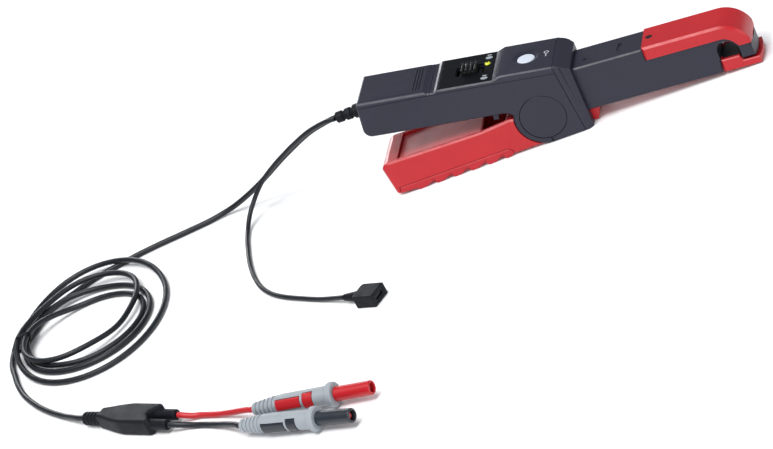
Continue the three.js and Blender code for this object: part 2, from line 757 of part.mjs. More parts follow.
// A rounded rectangle in X and Y.
function roundedPlan(x, y, length, width, radius) {
  const shape = new THREE.Shape();
  const [left, right] = [x - length / 2, x + length / 2];
  const [near, far] = [y - width / 2, y + width / 2];
  shape.moveTo(left + radius, near);
  shape.lineTo(right - radius, near);
  shape.absarc(right - radius, near + radius, radius, -Math.PI / 2, 0, false);
  shape.lineTo(right, far - radius);
  shape.absarc(right - radius, far - radius, radius, 0, Math.PI / 2, false);
  shape.lineTo(left + radius, far);
  shape.absarc(left + radius, far - radius, radius, Math.PI / 2, Math.PI, false);
  shape.lineTo(left, near + radius);
  shape.absarc(left + radius, near + radius, radius, Math.PI, 1.5 * Math.PI, false);
  return shape;
}

// ---------------------------------------------------------------- lever

const soleZ = (x) => SOLE.z + SOLE.slope * x;

function gripOutline() {
  const shape = new THREE.Shape();
  shape.moveTo(4, soleZ(4));
  shape.lineTo(-91.4, soleZ(-91.4));
  shape.quadraticCurveTo(-94.2, soleZ(-94.2), -94.9, -32.4);
  shape.lineTo(-99.2, -16.8);
  shape.quadraticCurveTo(-99.4, -14.4, -95.6, -12.8);
  shape.lineTo(-65.4, -8.1);
  shape.lineTo(-38.1, -3.5);
  shape.lineTo(-20, 1.3);
  shape.lineTo(4, 1.3);
  return shape;
}

function leverGrip() {
  const grip = solid(acrossY(gripOutline(), LEVER.halfWidth, 1, 10));
  const pocket = outline([
    [-89.8, soleZ(-89.8) + 6.6],
    [-25, soleZ(-25) + 6.6],
    [-21.8, -8],
    [-22.6, 8],
    [-89.8, 8],
  ]);
  const soleSeat = outline([
    [SOLE.rear - GAP, soleZ(SOLE.rear) - 5],
    [SOLE.front + GAP, soleZ(SOLE.front) - 5],
    [SOLE.front + GAP, soleZ(SOLE.front) + 2.2],
    [SOLE.front - 2.4, soleZ(SOLE.front - 2.4) + SOLE.height + GAP],
    [SOLE.rear - GAP, soleZ(SOLE.rear) + SOLE.height + GAP],
  ]);
  return cut(
    grip,
    rodY(0, 0, LEVER.clearRadius, -30, 30, 64),
    acrossY(pocket, LEVER.rimHalf),
    acrossY(soleSeat, 30),
  );
}

function leverHub() {
  const link = outline([[-13, 3], [-24, -3.5], [-23, -16.5], [-10, -17.6], [3, -15.6], [4, 0]]);
  const sector = new THREE.Shape();
  sector.moveTo(0, 0);
  sector.lineTo(2, -14.5);
  sector.lineTo(29.1, -11.4);
  sector.absarc(0, 0, 31.3, degrees(-21.4), degrees(-4), false);
  sector.lineTo(20, 6);
  return join(
    rodY(0, 0, 14.4, -LEVER.hubHalf, LEVER.hubHalf, 48),
    acrossY(link, LEVER.hubHalf),
    acrossY(sector, LEVER.hubHalf, 0, 10),
  );
}

function leverArm() {
  const arm = outline([[8, ARM.bottom], [108, ARM.bottom], [108, ARM.top], [34, ARM.top], [14, 8], [8, 8]]);
  return tiltedUp(acrossY(arm, ARM.halfWidth));
}

function leverProng() {
  const { rear, front, bottom, top, step, halfWidth } = PRONG;
  const shape = outline([
    [rear, bottom],
    [front - 1.2, bottom],
    [front, bottom + 1.2],
    [front, step],
    [118.2, step],
    [116.9, top],
    [rear, top],
  ]);
  const rounded = solid(acrossY(shape, halfWidth, 0.6)).intersect(plannedNose(front));
  return geometryOf(rounded).rotateY(-JAW_TILT);
}

function lowerCoreOutline(margin) {
  return outline([
    [107.2 - margin, -4.6 - margin],
    [116, -4.6 - margin],
    [116.4, -5.2 - margin],
    [CORE.front + margin, -5.2 - margin],
    [CORE.front + margin, 5 * margin - 2.6],
    [118.4, 5 * margin - 2.6],
    [116.6, 5 * margin + 0.8],
    [107.2 - margin, 5 * margin + 0.8],
  ]);
}

function lowerCore() {
  const shoe = solid(acrossY(lowerCoreOutline(0), 9));
  const tail = solid(box(CORE.rear, 108, -CORE.halfWidth, CORE.halfWidth, -3.4, 0.5));
  return shoe.add(tail);
}

function lever() {
  const { halfWidth, rear } = CORE;
  return cut(
    leverGrip().add(leverHub()).add(join(leverArm(), leverProng())),
    rodY(0, 0, PIN_RADIUS + GAP, -20, 20, 24),
    tiltedUp(acrossY(lowerCoreOutline(GAP), 9 + GAP)),
    tiltedUp(box(rear - GAP, 108, -halfWidth - GAP, halfWidth + GAP, -3.4 - GAP, 5)),
  );
}

function leverTray() {
  const drop = 0.5;
  const shape = outline([
    [-89.5, -13.4 - drop],
    [-65.4, -8.1 - drop],
    [-38.1, -3.5 - drop],
    [-37.6, -5 - drop],
    [-65.2, -9.7 - drop],
    [-89.5, -15 - drop],
  ]);
  return acrossY(shape, LEVER.rimHalf - GAP);
}

// A wedge cut into one side of the sole, deepest at its lower edge, between two ridges.
function soleScoop(apex, side) {
  const tip = (x) => soleZ(x) - RIDGES.depth - 0.5;
  const wedge = outline([
    [apex - 5.2, tip(apex - 5.2)],
    [apex, soleZ(apex) + SCOOPS.rise],
    [apex + 2.4, tip(apex + 2.4)],
  ]);
  const cutter = acrossY(wedge, 2);
  cutter.translate(0, side * (LEVER.halfWidth + 2.3 - SCOOPS.depth), 0);
  return cutter;
}

// The ribbed sole under the grip: one step for each finger ridge, scooped at both sides.
function fingerSole() {
  const shape = new THREE.Shape();
  const { rear, front, height } = SOLE;
  shape.moveTo(rear, soleZ(rear) + height);
  shape.lineTo(rear, soleZ(rear) + 0.6);
  for (let ridge = 0; ridge < RIDGES.count; ridge += 1) {
    const middle = RIDGES.first + RIDGES.pitch * ridge;
    const start = middle - RIDGES.length / 2;
    const end = Math.min(middle + RIDGES.length / 2, front);
    shape.lineTo(start, soleZ(start));
    shape.lineTo(start + RIDGES.flank, soleZ(start) - RIDGES.depth);
    shape.lineTo(end - 2 * RIDGES.flank, soleZ(end) - RIDGES.depth);
    shape.lineTo(end, soleZ(end));
  }
  shape.lineTo(front, soleZ(front) + 2);
  shape.lineTo(front - 2.6, soleZ(front - 2.6) + height);
  const scoops = [];
  for (let scoop = 0; scoop < SCOOPS.count; scoop += 1) {
    const apex = SCOOPS.first + RIDGES.pitch * scoop;
    scoops.push(soleScoop(apex, 1), soleScoop(apex, -1));
  }
  return cut(solid(acrossY(shape, LEVER.halfWidth + 0.3, 0.5, 4)), ...scoops);
}

// ---------------------------------------------------------------- strain relief and cords

function latheAlongX(points, segments = 14) {
  const geometry = new THREE.LatheGeometry(points.map(([x, radius]) => point(radius, x)), segments);
  geometry.rotateZ(-Math.PI / 2);
  return geometry;
}

// Rubber boot in the rear wall: two beads, a collar against the wall and a neck through it.
function strainRelief() {
  const profile = [[0, 0], [0, 2.9], [0.6, 3.3], [4.2, 3.35], [4.8, 2.6], [5.6, 2.6]];
  profile.push([6.2, 3.5], [9.6, 3.6], [10.2, 2.9], [11, 2.9], [11.6, 4.1], [16.8, 4.2]);
  profile.push([16.8, 3.4], [19.8, 3.4], [19.8, 0]);
  return latheAlongX(profile);
}

function cordTube(points, diameter, steps) {
  const curve = points.map(([x, y, z]) => new THREE.Vector3(x, y, z));
  return wireAlong(curve, diameter / 2, 8, steps);
}

const GLAND_END = [-130.6, 0, 52.4];

// The signal lead from the boot down to the floor and along it to the coil.
const LEAD_RUN = [
  [-131.4, 1.7, 52.1],
  [-135.8, 2.9, 51.3],
  [-140.1, 4.3, 50.1],
  [-148.8, 7.4, 47.3],
  [-156.3, 10.1, 44.1],
  [-162.7, 12.8, 40.7],
  [-169.2, 15.4, 37.1],
  [-175.2, 17.8, 33.7],
  [-181, 19.9, 30.3],
  [-186.5, 21.8, 27],
  [-192.1, 23.8, 23.5],
  [-197.9, 26.2, 19.9],
  [-203.7, 28.6, 16.4],
  [-209.8, 31.2, 12.9],
  [-216.5, 33.7, 9.4],
  [-223.2, 35.7, 6.3],
  [-229.7, 36.8, 3.9],
  [-236.9, 36.4, 2.4],
  [-244.9, 34.4, LEAD_FLOOR],
  [-251.5, 32.7, LEAD_FLOOR],
  [-264.7, 30, LEAD_FLOOR],
  [-277.9, 27.5, LEAD_FLOOR],
  [-291, 24.2, LEAD_FLOOR],
  [-296.6, 22.2, LEAD_FLOOR],
];

// From the coil round its near side to the splitter.
const LEAD_TAIL = [
  [-356.7, -69.4, LEAD_FLOOR],
  [-355.4, -73, LEAD_FLOOR],
  [-353.7, -77.5, LEAD_FLOOR],
  [-351.1, -84.3, LEAD_FLOOR],
  [-347.9, -91.4, LEAD_FLOOR],
  [-344.2, -98.7, LEAD_FLOOR],
  [-339.4, -106.7, LEAD_FLOOR],
  [-333.6, -114.8, LEAD_FLOOR],
  [-327.2, -122.9, LEAD_FLOOR],
  [-319.6, -131.2, LEAD_FLOOR],
  [-311.8, -138.7, 1.9],
  [-304.6, -145.3, 2.4],
  [-299.1, -150.4, 3.3],
  [-293.9, -155.2, 4.1],
  [-287.9, -159.4, 4.6],
];

const POWER_CORD = [
  [-131.3, -1.7, 52.9],
  [-135.6, -0.8, 52.7],
  [-139.8, 0.8, 52],
  [-148.6, 3.8, 49.4],
  [-156.5, 6.6, 46.1],
  [-163, 9.4, 42.6],
  [-169.3, 12.1, 39.2],
  [-175, 14.3, 35.8],
  [-180.7, 16.3, 32.5],
  [-186.1, 18, 29.2],
  [-191.2, 19.5, 25.9],
  [-195.9, 20.8, 22.6],
  [-200, 21.5, 19.4],
  [-203.5, 21.4, 16.3],
  [-206.4, 20.5, 13.5],
  [-208.9, 18.8, 10.9],
  [-211, 16.5, 8.6],
  [-212.6, 13.7, 6.5],
  [-213.7, 10.6, 4.6],
  [-214.3, 6.8, 3],
  [-214.3, 1.8, 1.9],
  [-213.6, -4.8, POWER_FLOOR],
  [-212.2, -12.4, POWER_FLOOR],
  [-210.5, -20.1, POWER_FLOOR],
  [-208.8, -27.9, POWER_FLOOR],
  [-206.8, -35.8, POWER_FLOOR],
  [-204.5, -43.8, POWER_FLOOR],
  [-201.7, -52.2, POWER_FLOOR],
  [-198.3, -60.8, POWER_FLOOR],
  [-194.6, -68.8, POWER_FLOOR],
  [-190, -76.5, POWER_FLOOR],
  [-183.6, -84.6, POWER_FLOOR],
  [-176.4, -91.3, POWER_FLOOR],
  [-168.9, -97, POWER_FLOOR],
  [-161.7, -102, POWER_FLOOR],
  [-154.7, -106.7, POWER_FLOOR],
  [-147.6, -111.4, 1.8],
  [-139.8, -116.7, 2.8],
  [-131.6, -122.1, 3.9],
];

const RED_LEAD = [
  [-222.3, -192.1, 5.1],
  [-219.4, -193.4, 4.6],
  [-216.4, -194, 3.6],
  [-213.2, -194.4, 2.6],
  [-209.6, -194.8, 2],
  [-205.6, -196.5, LEAD_FLOOR],
  [-201.5, -198.5, LEAD_FLOOR],
  [-199.4, -199.5, LEAD_FLOOR],
  [-197.2, -200.6, 2],
  [-192.8, -203.2, 2.6],
  [-188.1, -206.3, 3.6],
  [-183.3, -209.4, 4.7],
  [-178.5, -212.6, 5.8],
  [-174.2, -215.4, 6.6],
  [-170.5, -217.5, 6.9],
];

const BLACK_LEAD = [
  [-226.6, -199.7, 5.1],
  [-222.8, -200.9, 4.6],
  [-218.9, -201.5, 3.5],
  [-215.3, -202.3, 2.6],
  [-211.6, -203.6, 2],
  [-207.7, -205.1, LEAD_FLOOR],
  [-205.7, -206.1, LEAD_FLOOR],
  [-203.6, -207.2, LEAD_FLOOR],
  [-201.5, -208.4, LEAD_FLOOR],
  [-199.4, -209.7, 2],
  [-194.9, -212.9, 2.6],
  [-190.1, -216.7, 3.6],
  [-185.2, -221.1, 4.8],
  [-180.2, -226, 6.2],
  [-175.9, -230.2, 6.9],
];

// One solid of the coil's outer shape: an oval ring that holds all the turns.
function coilRing() {
  const ring = new THREE.Shape();
  ring.absellipse(-310.5, -41.3, 51.2, 67.6, 0, 2 * Math.PI, false, degrees(18.2));
  const hole = new THREE.Path();
  hole.absellipse(-314.5, -48, 30, 30, 0, 2 * Math.PI, true, 0);
  ring.holes.push(hole);
  const { x0, x1, y0, y1, z0, z1 } = TIE;
  const outside = box(x0 - 10, x1 + 10, y0 - GAP, y1 + GAP, -1, COIL.height + 1);
  const neck = box(x0 + GAP, x1 - GAP, y0 - 2, y1 + 2, z0 + GAP, z1 - GAP);
  return solid(alongZ(ring, 0.1, COIL.height, 0, 30)).subtract(cut(solid(outside), neck));
}

// ---------------------------------------------------------------- splitter and plugs, each along +X

const SPLITTER = {
  place: [-287.4, -159.7, 4.6],
  heading: -29.8,
  relief: 14.7,
  body: 61,
  end: 71.7,
  outletY: 4.35,
  outletZ: 0.5,
};

function splitter() {
  const { relief, body, end, outletY, outletZ } = SPLITTER;
  const ribs = [[0, 0], [0, 3.2]];
  for (let rib = 0; rib < 5; rib += 1) {
    const x = 0.6 + 2.8 * rib;
    ribs.push([x, 3.9 + 0.05 * rib], [x + 1.6, 4 + 0.05 * rib], [x + 1.9, 3.3], [x + 2.6, 3.3]);
  }
  ribs.push([relief, 4], [relief + 8, 4], [relief + 8, 0]);
  const flare = new THREE.QuadraticBezierCurve(
    point(relief + 2, 4.4),
    point(relief + 17, 8.4),
    point(relief + 23, 8.7),
  );
  const half = flare.getPoints(6).map(({ x, y }) => [x, y]);
  const side = [[relief - 0.5, 4.1], ...half, [body - 2.5, 8.7], [body, 6.6], [body - 6, 0.8]];
  const mirrored = side.map(([x, y]) => [x, -y]);
  const block = alongZ(outline([...mirrored, ...side.reverse()]), -4.6, 5.6, 1.8, 6);
  const outlets = [1, -1].map((way) => {
    const outlet = latheAlongX([[body - 16, 0], [body - 16, 3.4], [end - 0.5, 3.1], [end, 2.7], [end, 0]]);
    outlet.translate(0, way * outletY, outletZ);
    return outlet;
  });
  return join(latheAlongX(ribs), block, ...outlets);
}

const PLUG = { relief: 15, handle: 49, flange: 53, end: 76, handleRadius: 5.5, flangeRadius: 6.95 };
const INLAYS = { long: [17, 32.5, 2.9], short: [34.5, 40.5, 4] };

function plugHandle() {
  const { relief, handle, flange, handleRadius, flangeRadius } = PLUG;
  const profile = [[0, 0], [0, 2.9]];
  for (let rib = 0; rib < 5; rib += 1) {
    const x = 0.8 + 2.9 * rib;
    const radius = 3.6 + 0.35 * rib;
    profile.push([x, radius], [x + 1.8, radius + 0.2], [x + 2.1, radius - 0.5], [x + 2.7, radius - 0.5]);
  }
  profile.push([relief + 0.4, 5.1], [relief + 6, handleRadius], [handle - 0.6, handleRadius - 0.1]);
  profile.push([handle, flangeRadius - 0.5], [handle + 0.8, flangeRadius], [flange - 0.8, flangeRadius]);
  profile.push([flange, flangeRadius - 0.7], [flange, 0]);
  const pockets = Object.values(INLAYS).map(([from, to, half]) => {
    const pocket = solid(box(from - GAP, to + GAP, -half - GAP, half + GAP, 2, 12));
    return pocket.subtract(solid(latheAlongX([[0, 0], [0, 4.3], [60, 4.3], [60, 0]], 16)));
  });
  const socket = latheAlongX([[flange - 9, 0], [flange - 9, 2.4], [flange + 1, 2.4], [flange + 1, 0]], 16);
  return pockets.reduce((body, pocket) => body.subtract(pocket), solid(latheAlongX(profile, 16)))
    .subtract(solid(socket));
}

function plugInlay([from, to, half]) {
  const outer = solid(latheAlongX([[from, 0], [from, 5.75], [to, 5.75], [to, 0]], 16));
  const inner = latheAlongX([[0, 0], [0, 4.6], [60, 4.6], [60, 0]], 16);
  return outer.intersect(solid(box(from, to, -half, half, 2, 12))).subtract(solid(inner));
}

function plugShroud() {
  const { flange, end } = PLUG;
  const start = flange + GAP;
  return latheAlongX(
    [[start, 2.4], [start, 4.1], [end - 0.5, 4], [end, 3.6], [end, 2.9], [end - 0.4, 2.7], [start, 2.4]],
    16,
  );
}

function plugPin() {
  const { flange, end } = PLUG;
  return latheAlongX(
    [[flange - 8.6, 0], [flange - 8.6, 2], [end - 3.4, 2], [end - 2.4, 1.5], [end - 2.4, 0]],
    12,
  );
}

const CONNECTOR = { place: [-121.6, -126.7, 3.9], heading: -24.4, length: 15, width: 13.3, height: 7.7 };

function powerConnector() {
  const { length, width, height } = CONNECTOR;
  const shape = new THREE.Shape();
  const half = width / 2;
  shape.moveTo(0, -half + 1.5);
  shape.lineTo(1.5, -half);
  shape.lineTo(length, -half);
  shape.lineTo(length, half);
  shape.lineTo(1.5, half);
  shape.lineTo(0, half - 1.5);
  const block = alongZ(shape, -height / 2, height / 2, 0.7, 2);
  const boot = latheAlongX([[-10.4, 0], [-10.4, 1.9], [-1, 3.1], [2, 3.3], [2, 0]], 16);
  const mouth = box(length - 9, length + 1, -4.4, 4.4, -2, 2);
  return cut(join(block, boot), mouth);
}

function powerSocket() {
  const { length } = CONNECTOR;
  const shell = solid(box(length - 8.6, length - 0.2, -4.1, 4.1, -1.7, 1.7));
  const tongue = box(length - 7.8, length - 1.2, -2.6, 2.6, -0.4, 0.4);
  return cut(shell, box(length - 7.8, length + 1, -3.7, 3.7, -1.3, 1.3))
    .add(solid(tongue))
    .add(solid(box(length - 8.4, length - 7.6, -2.6, 2.6, -0.4, 0.4)));
}

// ---------------------------------------------------------------- scene

// A turned group for a piece that lies on the floor along a heading.
function laid({ place, heading, roll = 0 }, ...meshes) {
  const group = new THREE.Group();
  group.position.set(...place);
  group.rotation.set(degrees(roll), 0, degrees(heading), 'ZYX');
  group.add(...meshes);
  return group;
}

function testPlug(colourName, colour, lay) {
  return laid(
    lay,
    piece(`${colourName}_plug_handle`, plugHandle(), HANDLE_GREY),
    piece(`${colourName}_plug_inlay_long`, plugInlay(INLAYS.long), colour),
    piece(`${colourName}_plug_inlay_short`, plugInlay(INLAYS.short), colour),
    piece(`${colourName}_plug_shroud`, plugShroud(), colour),
    piece(`${colourName}_plug_pin`, plugPin(), STEEL),
  );
}

// The band round the left side of the coil, bedded in a neck of the ring.
function coilTie() {
  const { x0, x1, y0, y1, z0, z1, thick } = TIE;
  const band = box(x0 - thick, x1 + thick, y0, y1, z0 - thick, z1 + thick);
  return cut(solid(band), box(x0, x1, y0 - 1, y1 + 1, z0, z1));
}

const jaw = new THREE.Group();
jaw.rotation.y = -JAW_TILT;
jaw.add(
  piece('jaw_beam', jawBeam(), CHARCOAL),
  piece('nose_cap', noseCap(), RED),
  piece('cap_screw', capScrew(), STEEL),
  piece('upper_core', upperCore(), CORE_STEEL),
  piece('hall_sensor', hallSensor(), BLACK),
  piece('sensor_coil', sensorCoil(), COPPER),
  piece('lower_core', lowerCore(), CORE_STEEL),
);

const probe = new THREE.Group();
probe.position.copy(PIVOT);
probe.rotation.y = PITCH;
probe.add(
  jaw,
  piece('lower_shell', lowerShell(), CHARCOAL),
  piece('top_panel', topPanel(), CHARCOAL),
  piece('label_plate', labelPlate(), LABEL_BLACK),
  piece('range_window_left', rangeWindow(WINDOWS.left), GREY_INK),
  piece('range_window_right', rangeWindow(WINDOWS.right), GREY_INK),
  piece('status_led', statusLed(), LED_LENS),
  piece('battery_cover', batteryCover(), CHARCOAL),
  piece('front_bezel', frontBezel(), CHARCOAL),
  piece('circuit_board', circuitBoard(), BOARD_GREEN),
  piece('switch_body', box(-44.2, -30.8, -4.4, 4.4, 24.5, 26.4), STEEL),
  piece('switch_knob', switchKnob(), BLACK),
  piece('zero_button', zeroButton(), WHITE),
  piece('zero_switch', box(BUTTON.x - 3, BUTTON.x + 3, -3, 3, 24.5, 25.1), BLACK),
  piece('battery', battery(), BATTERY_CASE),
  piece('battery_snap', snapConnector(), BLACK),
  piece('housing_screw_left', housingScrew(1), STEEL),
  piece('housing_screw_right', housingScrew(-1), STEEL),
  piece('pivot_pin', rodY(0, 0, PIN_RADIUS, -16.4, 16.4, 24), STEEL),
  piece('pivot_cover_left', pivotCover(HALF_WIDTH - COVER_DISC.thick, HALF_WIDTH), CHARCOAL),
  piece('pivot_cover_right', pivotCover(-HALF_WIDTH, COVER_DISC.thick - HALF_WIDTH), CHARCOAL),
  piece('pivot_spring', pivotSpring(), STEEL),
  piece('lever', lever(), RED),
  piece('lever_tray', leverTray(), RED),
  piece('finger_sole', fingerSole(), RED_SOLE),
);

const boot = piece('strain_relief', strainRelief(), CORD_BLACK);
boot.position.set(...GLAND_END);

const part = new THREE.Group();
part.add(
  probe,
  boot,
  piece('lead_run', cordTube(LEAD_RUN, LEAD_DIAMETER, 22), CORD_BLACK),
  piece('lead_coil', coilRing(), CORD_BLACK),
  piece('coil_tie', coilTie(), BLACK),
  piece('lead_tail', cordTube(LEAD_TAIL, LEAD_DIAMETER, 12), CORD_BLACK),
  piece('power_cord', cordTube(POWER_CORD, POWER_DIAMETER, 32), CORD_BLACK),
  piece('red_lead', cordTube(RED_LEAD, LEAD_DIAMETER, 7), RED),
  piece('black_lead', cordTube(BLACK_LEAD, LEAD_DIAMETER, 7), CORD_BLACK),
  laid(SPLITTER, piece('splitter', splitter(), CORD_BLACK)),
  laid(
    CONNECTOR,
    piece('power_connector', powerConnector(), CORD_BLACK),
    piece('power_socket', powerSocket(), STEEL),
  ),
  testPlug('red', RED, { place: [-169.8, -217.8, 7], heading: -14.6, roll: 64 }),
  testPlug('black', BLACK, { place: [-175.2, -230.7, 7], heading: -21.9, roll: 94 }),
);

export default part;
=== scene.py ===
import math

import bmesh
import bpy
from mathutils import Matrix, Vector
from mathutils.geometry import convex_hull_2d


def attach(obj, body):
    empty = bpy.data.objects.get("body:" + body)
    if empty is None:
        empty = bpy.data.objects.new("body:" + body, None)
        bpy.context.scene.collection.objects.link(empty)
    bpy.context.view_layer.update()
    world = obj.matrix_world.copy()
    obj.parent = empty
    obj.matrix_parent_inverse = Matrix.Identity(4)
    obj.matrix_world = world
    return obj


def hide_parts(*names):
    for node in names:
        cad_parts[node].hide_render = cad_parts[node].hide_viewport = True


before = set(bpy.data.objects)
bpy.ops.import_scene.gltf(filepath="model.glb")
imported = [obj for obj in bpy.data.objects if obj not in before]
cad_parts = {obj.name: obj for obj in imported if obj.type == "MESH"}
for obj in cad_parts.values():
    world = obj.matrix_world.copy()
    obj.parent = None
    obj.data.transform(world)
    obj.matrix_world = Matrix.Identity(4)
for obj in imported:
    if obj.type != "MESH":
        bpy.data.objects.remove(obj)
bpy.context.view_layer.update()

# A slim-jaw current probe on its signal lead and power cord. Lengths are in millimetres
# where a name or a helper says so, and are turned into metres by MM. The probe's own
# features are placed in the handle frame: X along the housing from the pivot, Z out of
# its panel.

MM = 0.001

# ------------------------------------------------------------------ camera

AZIMUTH = math.radians(20.63)
ELEVATION = math.radians(24.81)
ROLL = math.radians(28.43)
CAMERA_PLACE = Vector((0.61097, -1.98098, 0.9558))
LENS_MM = 186.28
SENSOR_MM = 36.0
NEAREST = 0.1
FARTHEST = 50


def add_camera():
    back = Vector((
        math.sin(AZIMUTH) * math.cos(ELEVATION),
        -math.cos(AZIMUTH) * math.cos(ELEVATION),
        math.sin(ELEVATION),
    ))
    level_right = Vector((math.cos(AZIMUTH), math.sin(AZIMUTH), 0))
    level_up = back.cross(level_right)
    right = math.cos(ROLL) * level_right - math.sin(ROLL) * level_up
    up = math.sin(ROLL) * level_right + math.cos(ROLL) * level_up
    turn = Matrix((right, up, back)).transposed().to_4x4()
    data = bpy.data.cameras.new("camera")
    data.lens = LENS_MM
    data.sensor_width = SENSOR_MM
    data.clip_start = NEAREST
    data.clip_end = FARTHEST
    camera = bpy.data.objects.new("camera", data)
    camera.matrix_world = Matrix.Translation(CAMERA_PLACE) @ turn
    bpy.context.scene.collection.objects.link(camera)
    bpy.context.scene.camera = camera


add_camera()

# ------------------------------------------------------------------ materials

FINISHES = {}

# Layers of noise: scale, detail and roughness. Each finish gives the scale of its own grain.
SLOW_TINT = (38, 4, 0.6)
FINE_DUST = (900, 6, 0.75)
GLOSS_PATCHES = (160, 5, 0.6)
GRAIN_DETAIL = (2, 0.6)

GLOSS_SPREAD = 0.07
DUST_GAIN = 1.8
COAT_ROUGHNESS = 0.25
BUMP_STRENGTH = 0.6


def linear(colour):
    """A colour given as 0 to 255 sRGB, as the linear values a shader takes."""
    def channel(value):
        value /= 255
        return value / 12.92 if value <= 0.04045 else ((value + 0.055) / 1.055) ** 2.4
    return tuple(channel(v) for v in colour) + (1.0,)


def noise(tree, place, scale, detail, roughness):
    node = tree.nodes.new("ShaderNodeTexNoise")
    node.inputs["Scale"].default_value = scale
    node.inputs["Detail"].default_value = detail
    node.inputs["Roughness"].default_value = roughness
    tree.links.new(place, node.inputs["Vector"])
    return node.outputs["Fac"]


def ranged(tree, value, low, high, start=0.3, end=0.7):
    node = tree.nodes.new("ShaderNodeMapRange")
    node.inputs["From Min"].default_value = start
    node.inputs["From Max"].default_value = end
    node.inputs["To Min"].default_value = low
    node.inputs["To Max"].default_value = high
    tree.links.new(value, node.inputs["Value"])
    return node.outputs["Result"]


def mixed(tree, share, first, second):
    """A colour that goes from first to second with share. Each is a colour or a socket."""
    node = tree.nodes.new("ShaderNodeMix")
    node.data_type = "RGBA"
    tree.links.new(share, node.inputs["Factor"])
    for socket, colour in ((node.inputs[6], first), (node.inputs[7], second)):
        if isinstance(colour, tuple):
            socket.default_value = colour
        else:
            tree.links.new(colour, socket)
    return node.outputs[2]


def scaled(colour, factor):
    return tuple(min(1.0, c * factor) for c in colour[:3]) + (1.0,)


def surface(name, colour, roughness, grain=2200, relief=0.012, mottle=0.1,
            metallic=0.0, specular=0.5, coat=0.0, stretch=(1, 1, 1), dust=0.0):
    """A procedural finish: fine grain in the bump, slow colour mottling, uneven gloss."""
    material = bpy.data.materials.new(name)
    material.use_nodes = True
    tree = material.node_tree
    shader = tree.nodes["Principled BSDF"]
    shader.inputs["Metallic"].default_value = metallic
    shader.inputs["Specular IOR Level"].default_value = specular
    shader.inputs["Coat Weight"].default_value = coat
    shader.inputs["Coat Roughness"].default_value = COAT_ROUGHNESS
    coordinates = tree.nodes.new("ShaderNodeTexCoord")
    mapping = tree.nodes.new("ShaderNodeMapping")
    mapping.inputs["Scale"].default_value = stretch
    tree.links.new(coordinates.outputs["Object"], mapping.inputs["Vector"])
    place = mapping.outputs["Vector"]
    base = linear(colour)
    slow = noise(tree, place, *SLOW_TINT)
    tint = mixed(tree, ranged(tree, slow, 0, 1), scaled(base, 1 - mottle), scaled(base, 1 + mottle))
    if dust:
        speck = noise(tree, place, *FINE_DUST)
        tint = mixed(tree, ranged(tree, speck, 0, dust, 0.6, 0.78), tint, scaled(base, DUST_GAIN))
    tree.links.new(tint, shader.inputs["Base Color"])
    patches = noise(tree, place, *GLOSS_PATCHES)
    gloss = ranged(tree, patches, roughness - GLOSS_SPREAD, roughness + GLOSS_SPREAD)
    tree.links.new(gloss, shader.inputs["Roughness"])
    bump = tree.nodes.new("ShaderNodeBump")
    bump.inputs["Strength"].default_value = BUMP_STRENGTH
    bump.inputs["Distance"].default_value = relief * MM
    tree.links.new(noise(tree, place, grain, *GRAIN_DETAIL), bump.inputs["Height"])
    tree.links.new(bump.outputs["Normal"], shader.inputs["Normal"])
    FINISHES[name] = material


surface("charcoal_plastic", (31, 32, 46), 0.38, grain=3000, relief=0.02, specular=0.36, dust=0.12)
surface("panel_film", (9, 11, 16), 0.4, grain=1500, relief=0.008, mottle=0.06, specular=0.08)
surface("red_plastic", (172, 22, 30), 0.34, grain=2600, relief=0.01, mottle=0.05, specular=0.4)
surface("red_rubber", (168, 24, 34), 0.5, grain=2600, relief=0.03, mottle=0.07, specular=0.4)
# Painted reflection: the tray's pale greyish pink is its red plastic with the sheen of its upward face
# painted into the colour.
surface("tray_plastic", (206, 92, 94), 0.45, grain=2400, relief=0.02, mottle=0.16, specular=0.4)
surface("white_rubber", (196, 203, 216), 0.5, grain=2400, relief=0.012, mottle=0.03)
surface("lens_yellow", (206, 214, 40), 0.2, grain=900, relief=0.004, mottle=0.04, coat=0.6)
surface("lens_grey", (150, 158, 166), 0.25, grain=900, relief=0.004, mottle=0.05, coat=0.4)
surface("black_plastic", (13, 13, 15), 0.4, grain=2600, relief=0.012, specular=0.4)
surface("plug_black", (30, 36, 44), 0.32, grain=2600, relief=0.012, specular=0.45)
surface("steel", (165, 167, 170), 0.32, grain=1800, relief=0.008, mottle=0.04,
        metallic=1.0, stretch=(1, 8, 1))
surface("core_steel", (46, 46, 50), 0.5, grain=2400, relief=0.02, mottle=0.12,
        metallic=0.6, stretch=(1, 6, 1))
surface("copper", (184, 98, 52), 0.35, grain=2600, relief=0.05, mottle=0.12,
        metallic=1.0, stretch=(1, 1, 0.2))
surface("board", (10, 42, 27), 0.4, grain=1400, relief=0.012, mottle=0.14)
surface("battery_case", (66, 70, 76), 0.38, grain=1800, relief=0.008, metallic=0.4)
surface("cord_jacket", (17, 21, 27), 0.42, grain=2600, relief=0.03, mottle=0.14, specular=0.36, dust=0.1)
surface("moulding_rubber", (16, 19, 25), 0.55, grain=2600, relief=0.03, specular=0.16, dust=0.1)
surface("red_jacket", (180, 26, 34), 0.42, grain=2600, relief=0.02, mottle=0.06)
surface("grey_rubber", (142, 148, 154), 0.55, grain=2800, relief=0.03, mottle=0.05)
surface("tie_rubber", (8, 9, 12), 0.7, grain=2400, relief=0.03, specular=0.1)
surface("ink", (178, 182, 190), 0.5, grain=1800, relief=0.004, mottle=0.04)

# ------------------------------------------------------------------ helpers for pieces

BEVEL_STEPS = 2
SOFT_ANGLE = math.radians(28)
BEVELLED_ANGLE = math.radians(60)
TURNED_ANGLE = math.radians(40)
FLAT_ANGLE = math.radians(0.8)

# Corners closer than this, in metres, are one corner.
SAME_POINT = 2e-6


def placed(x, y, z):
    """A point given in millimetres, in the part's own frame."""
    return Vector((x, y, z)) * MM


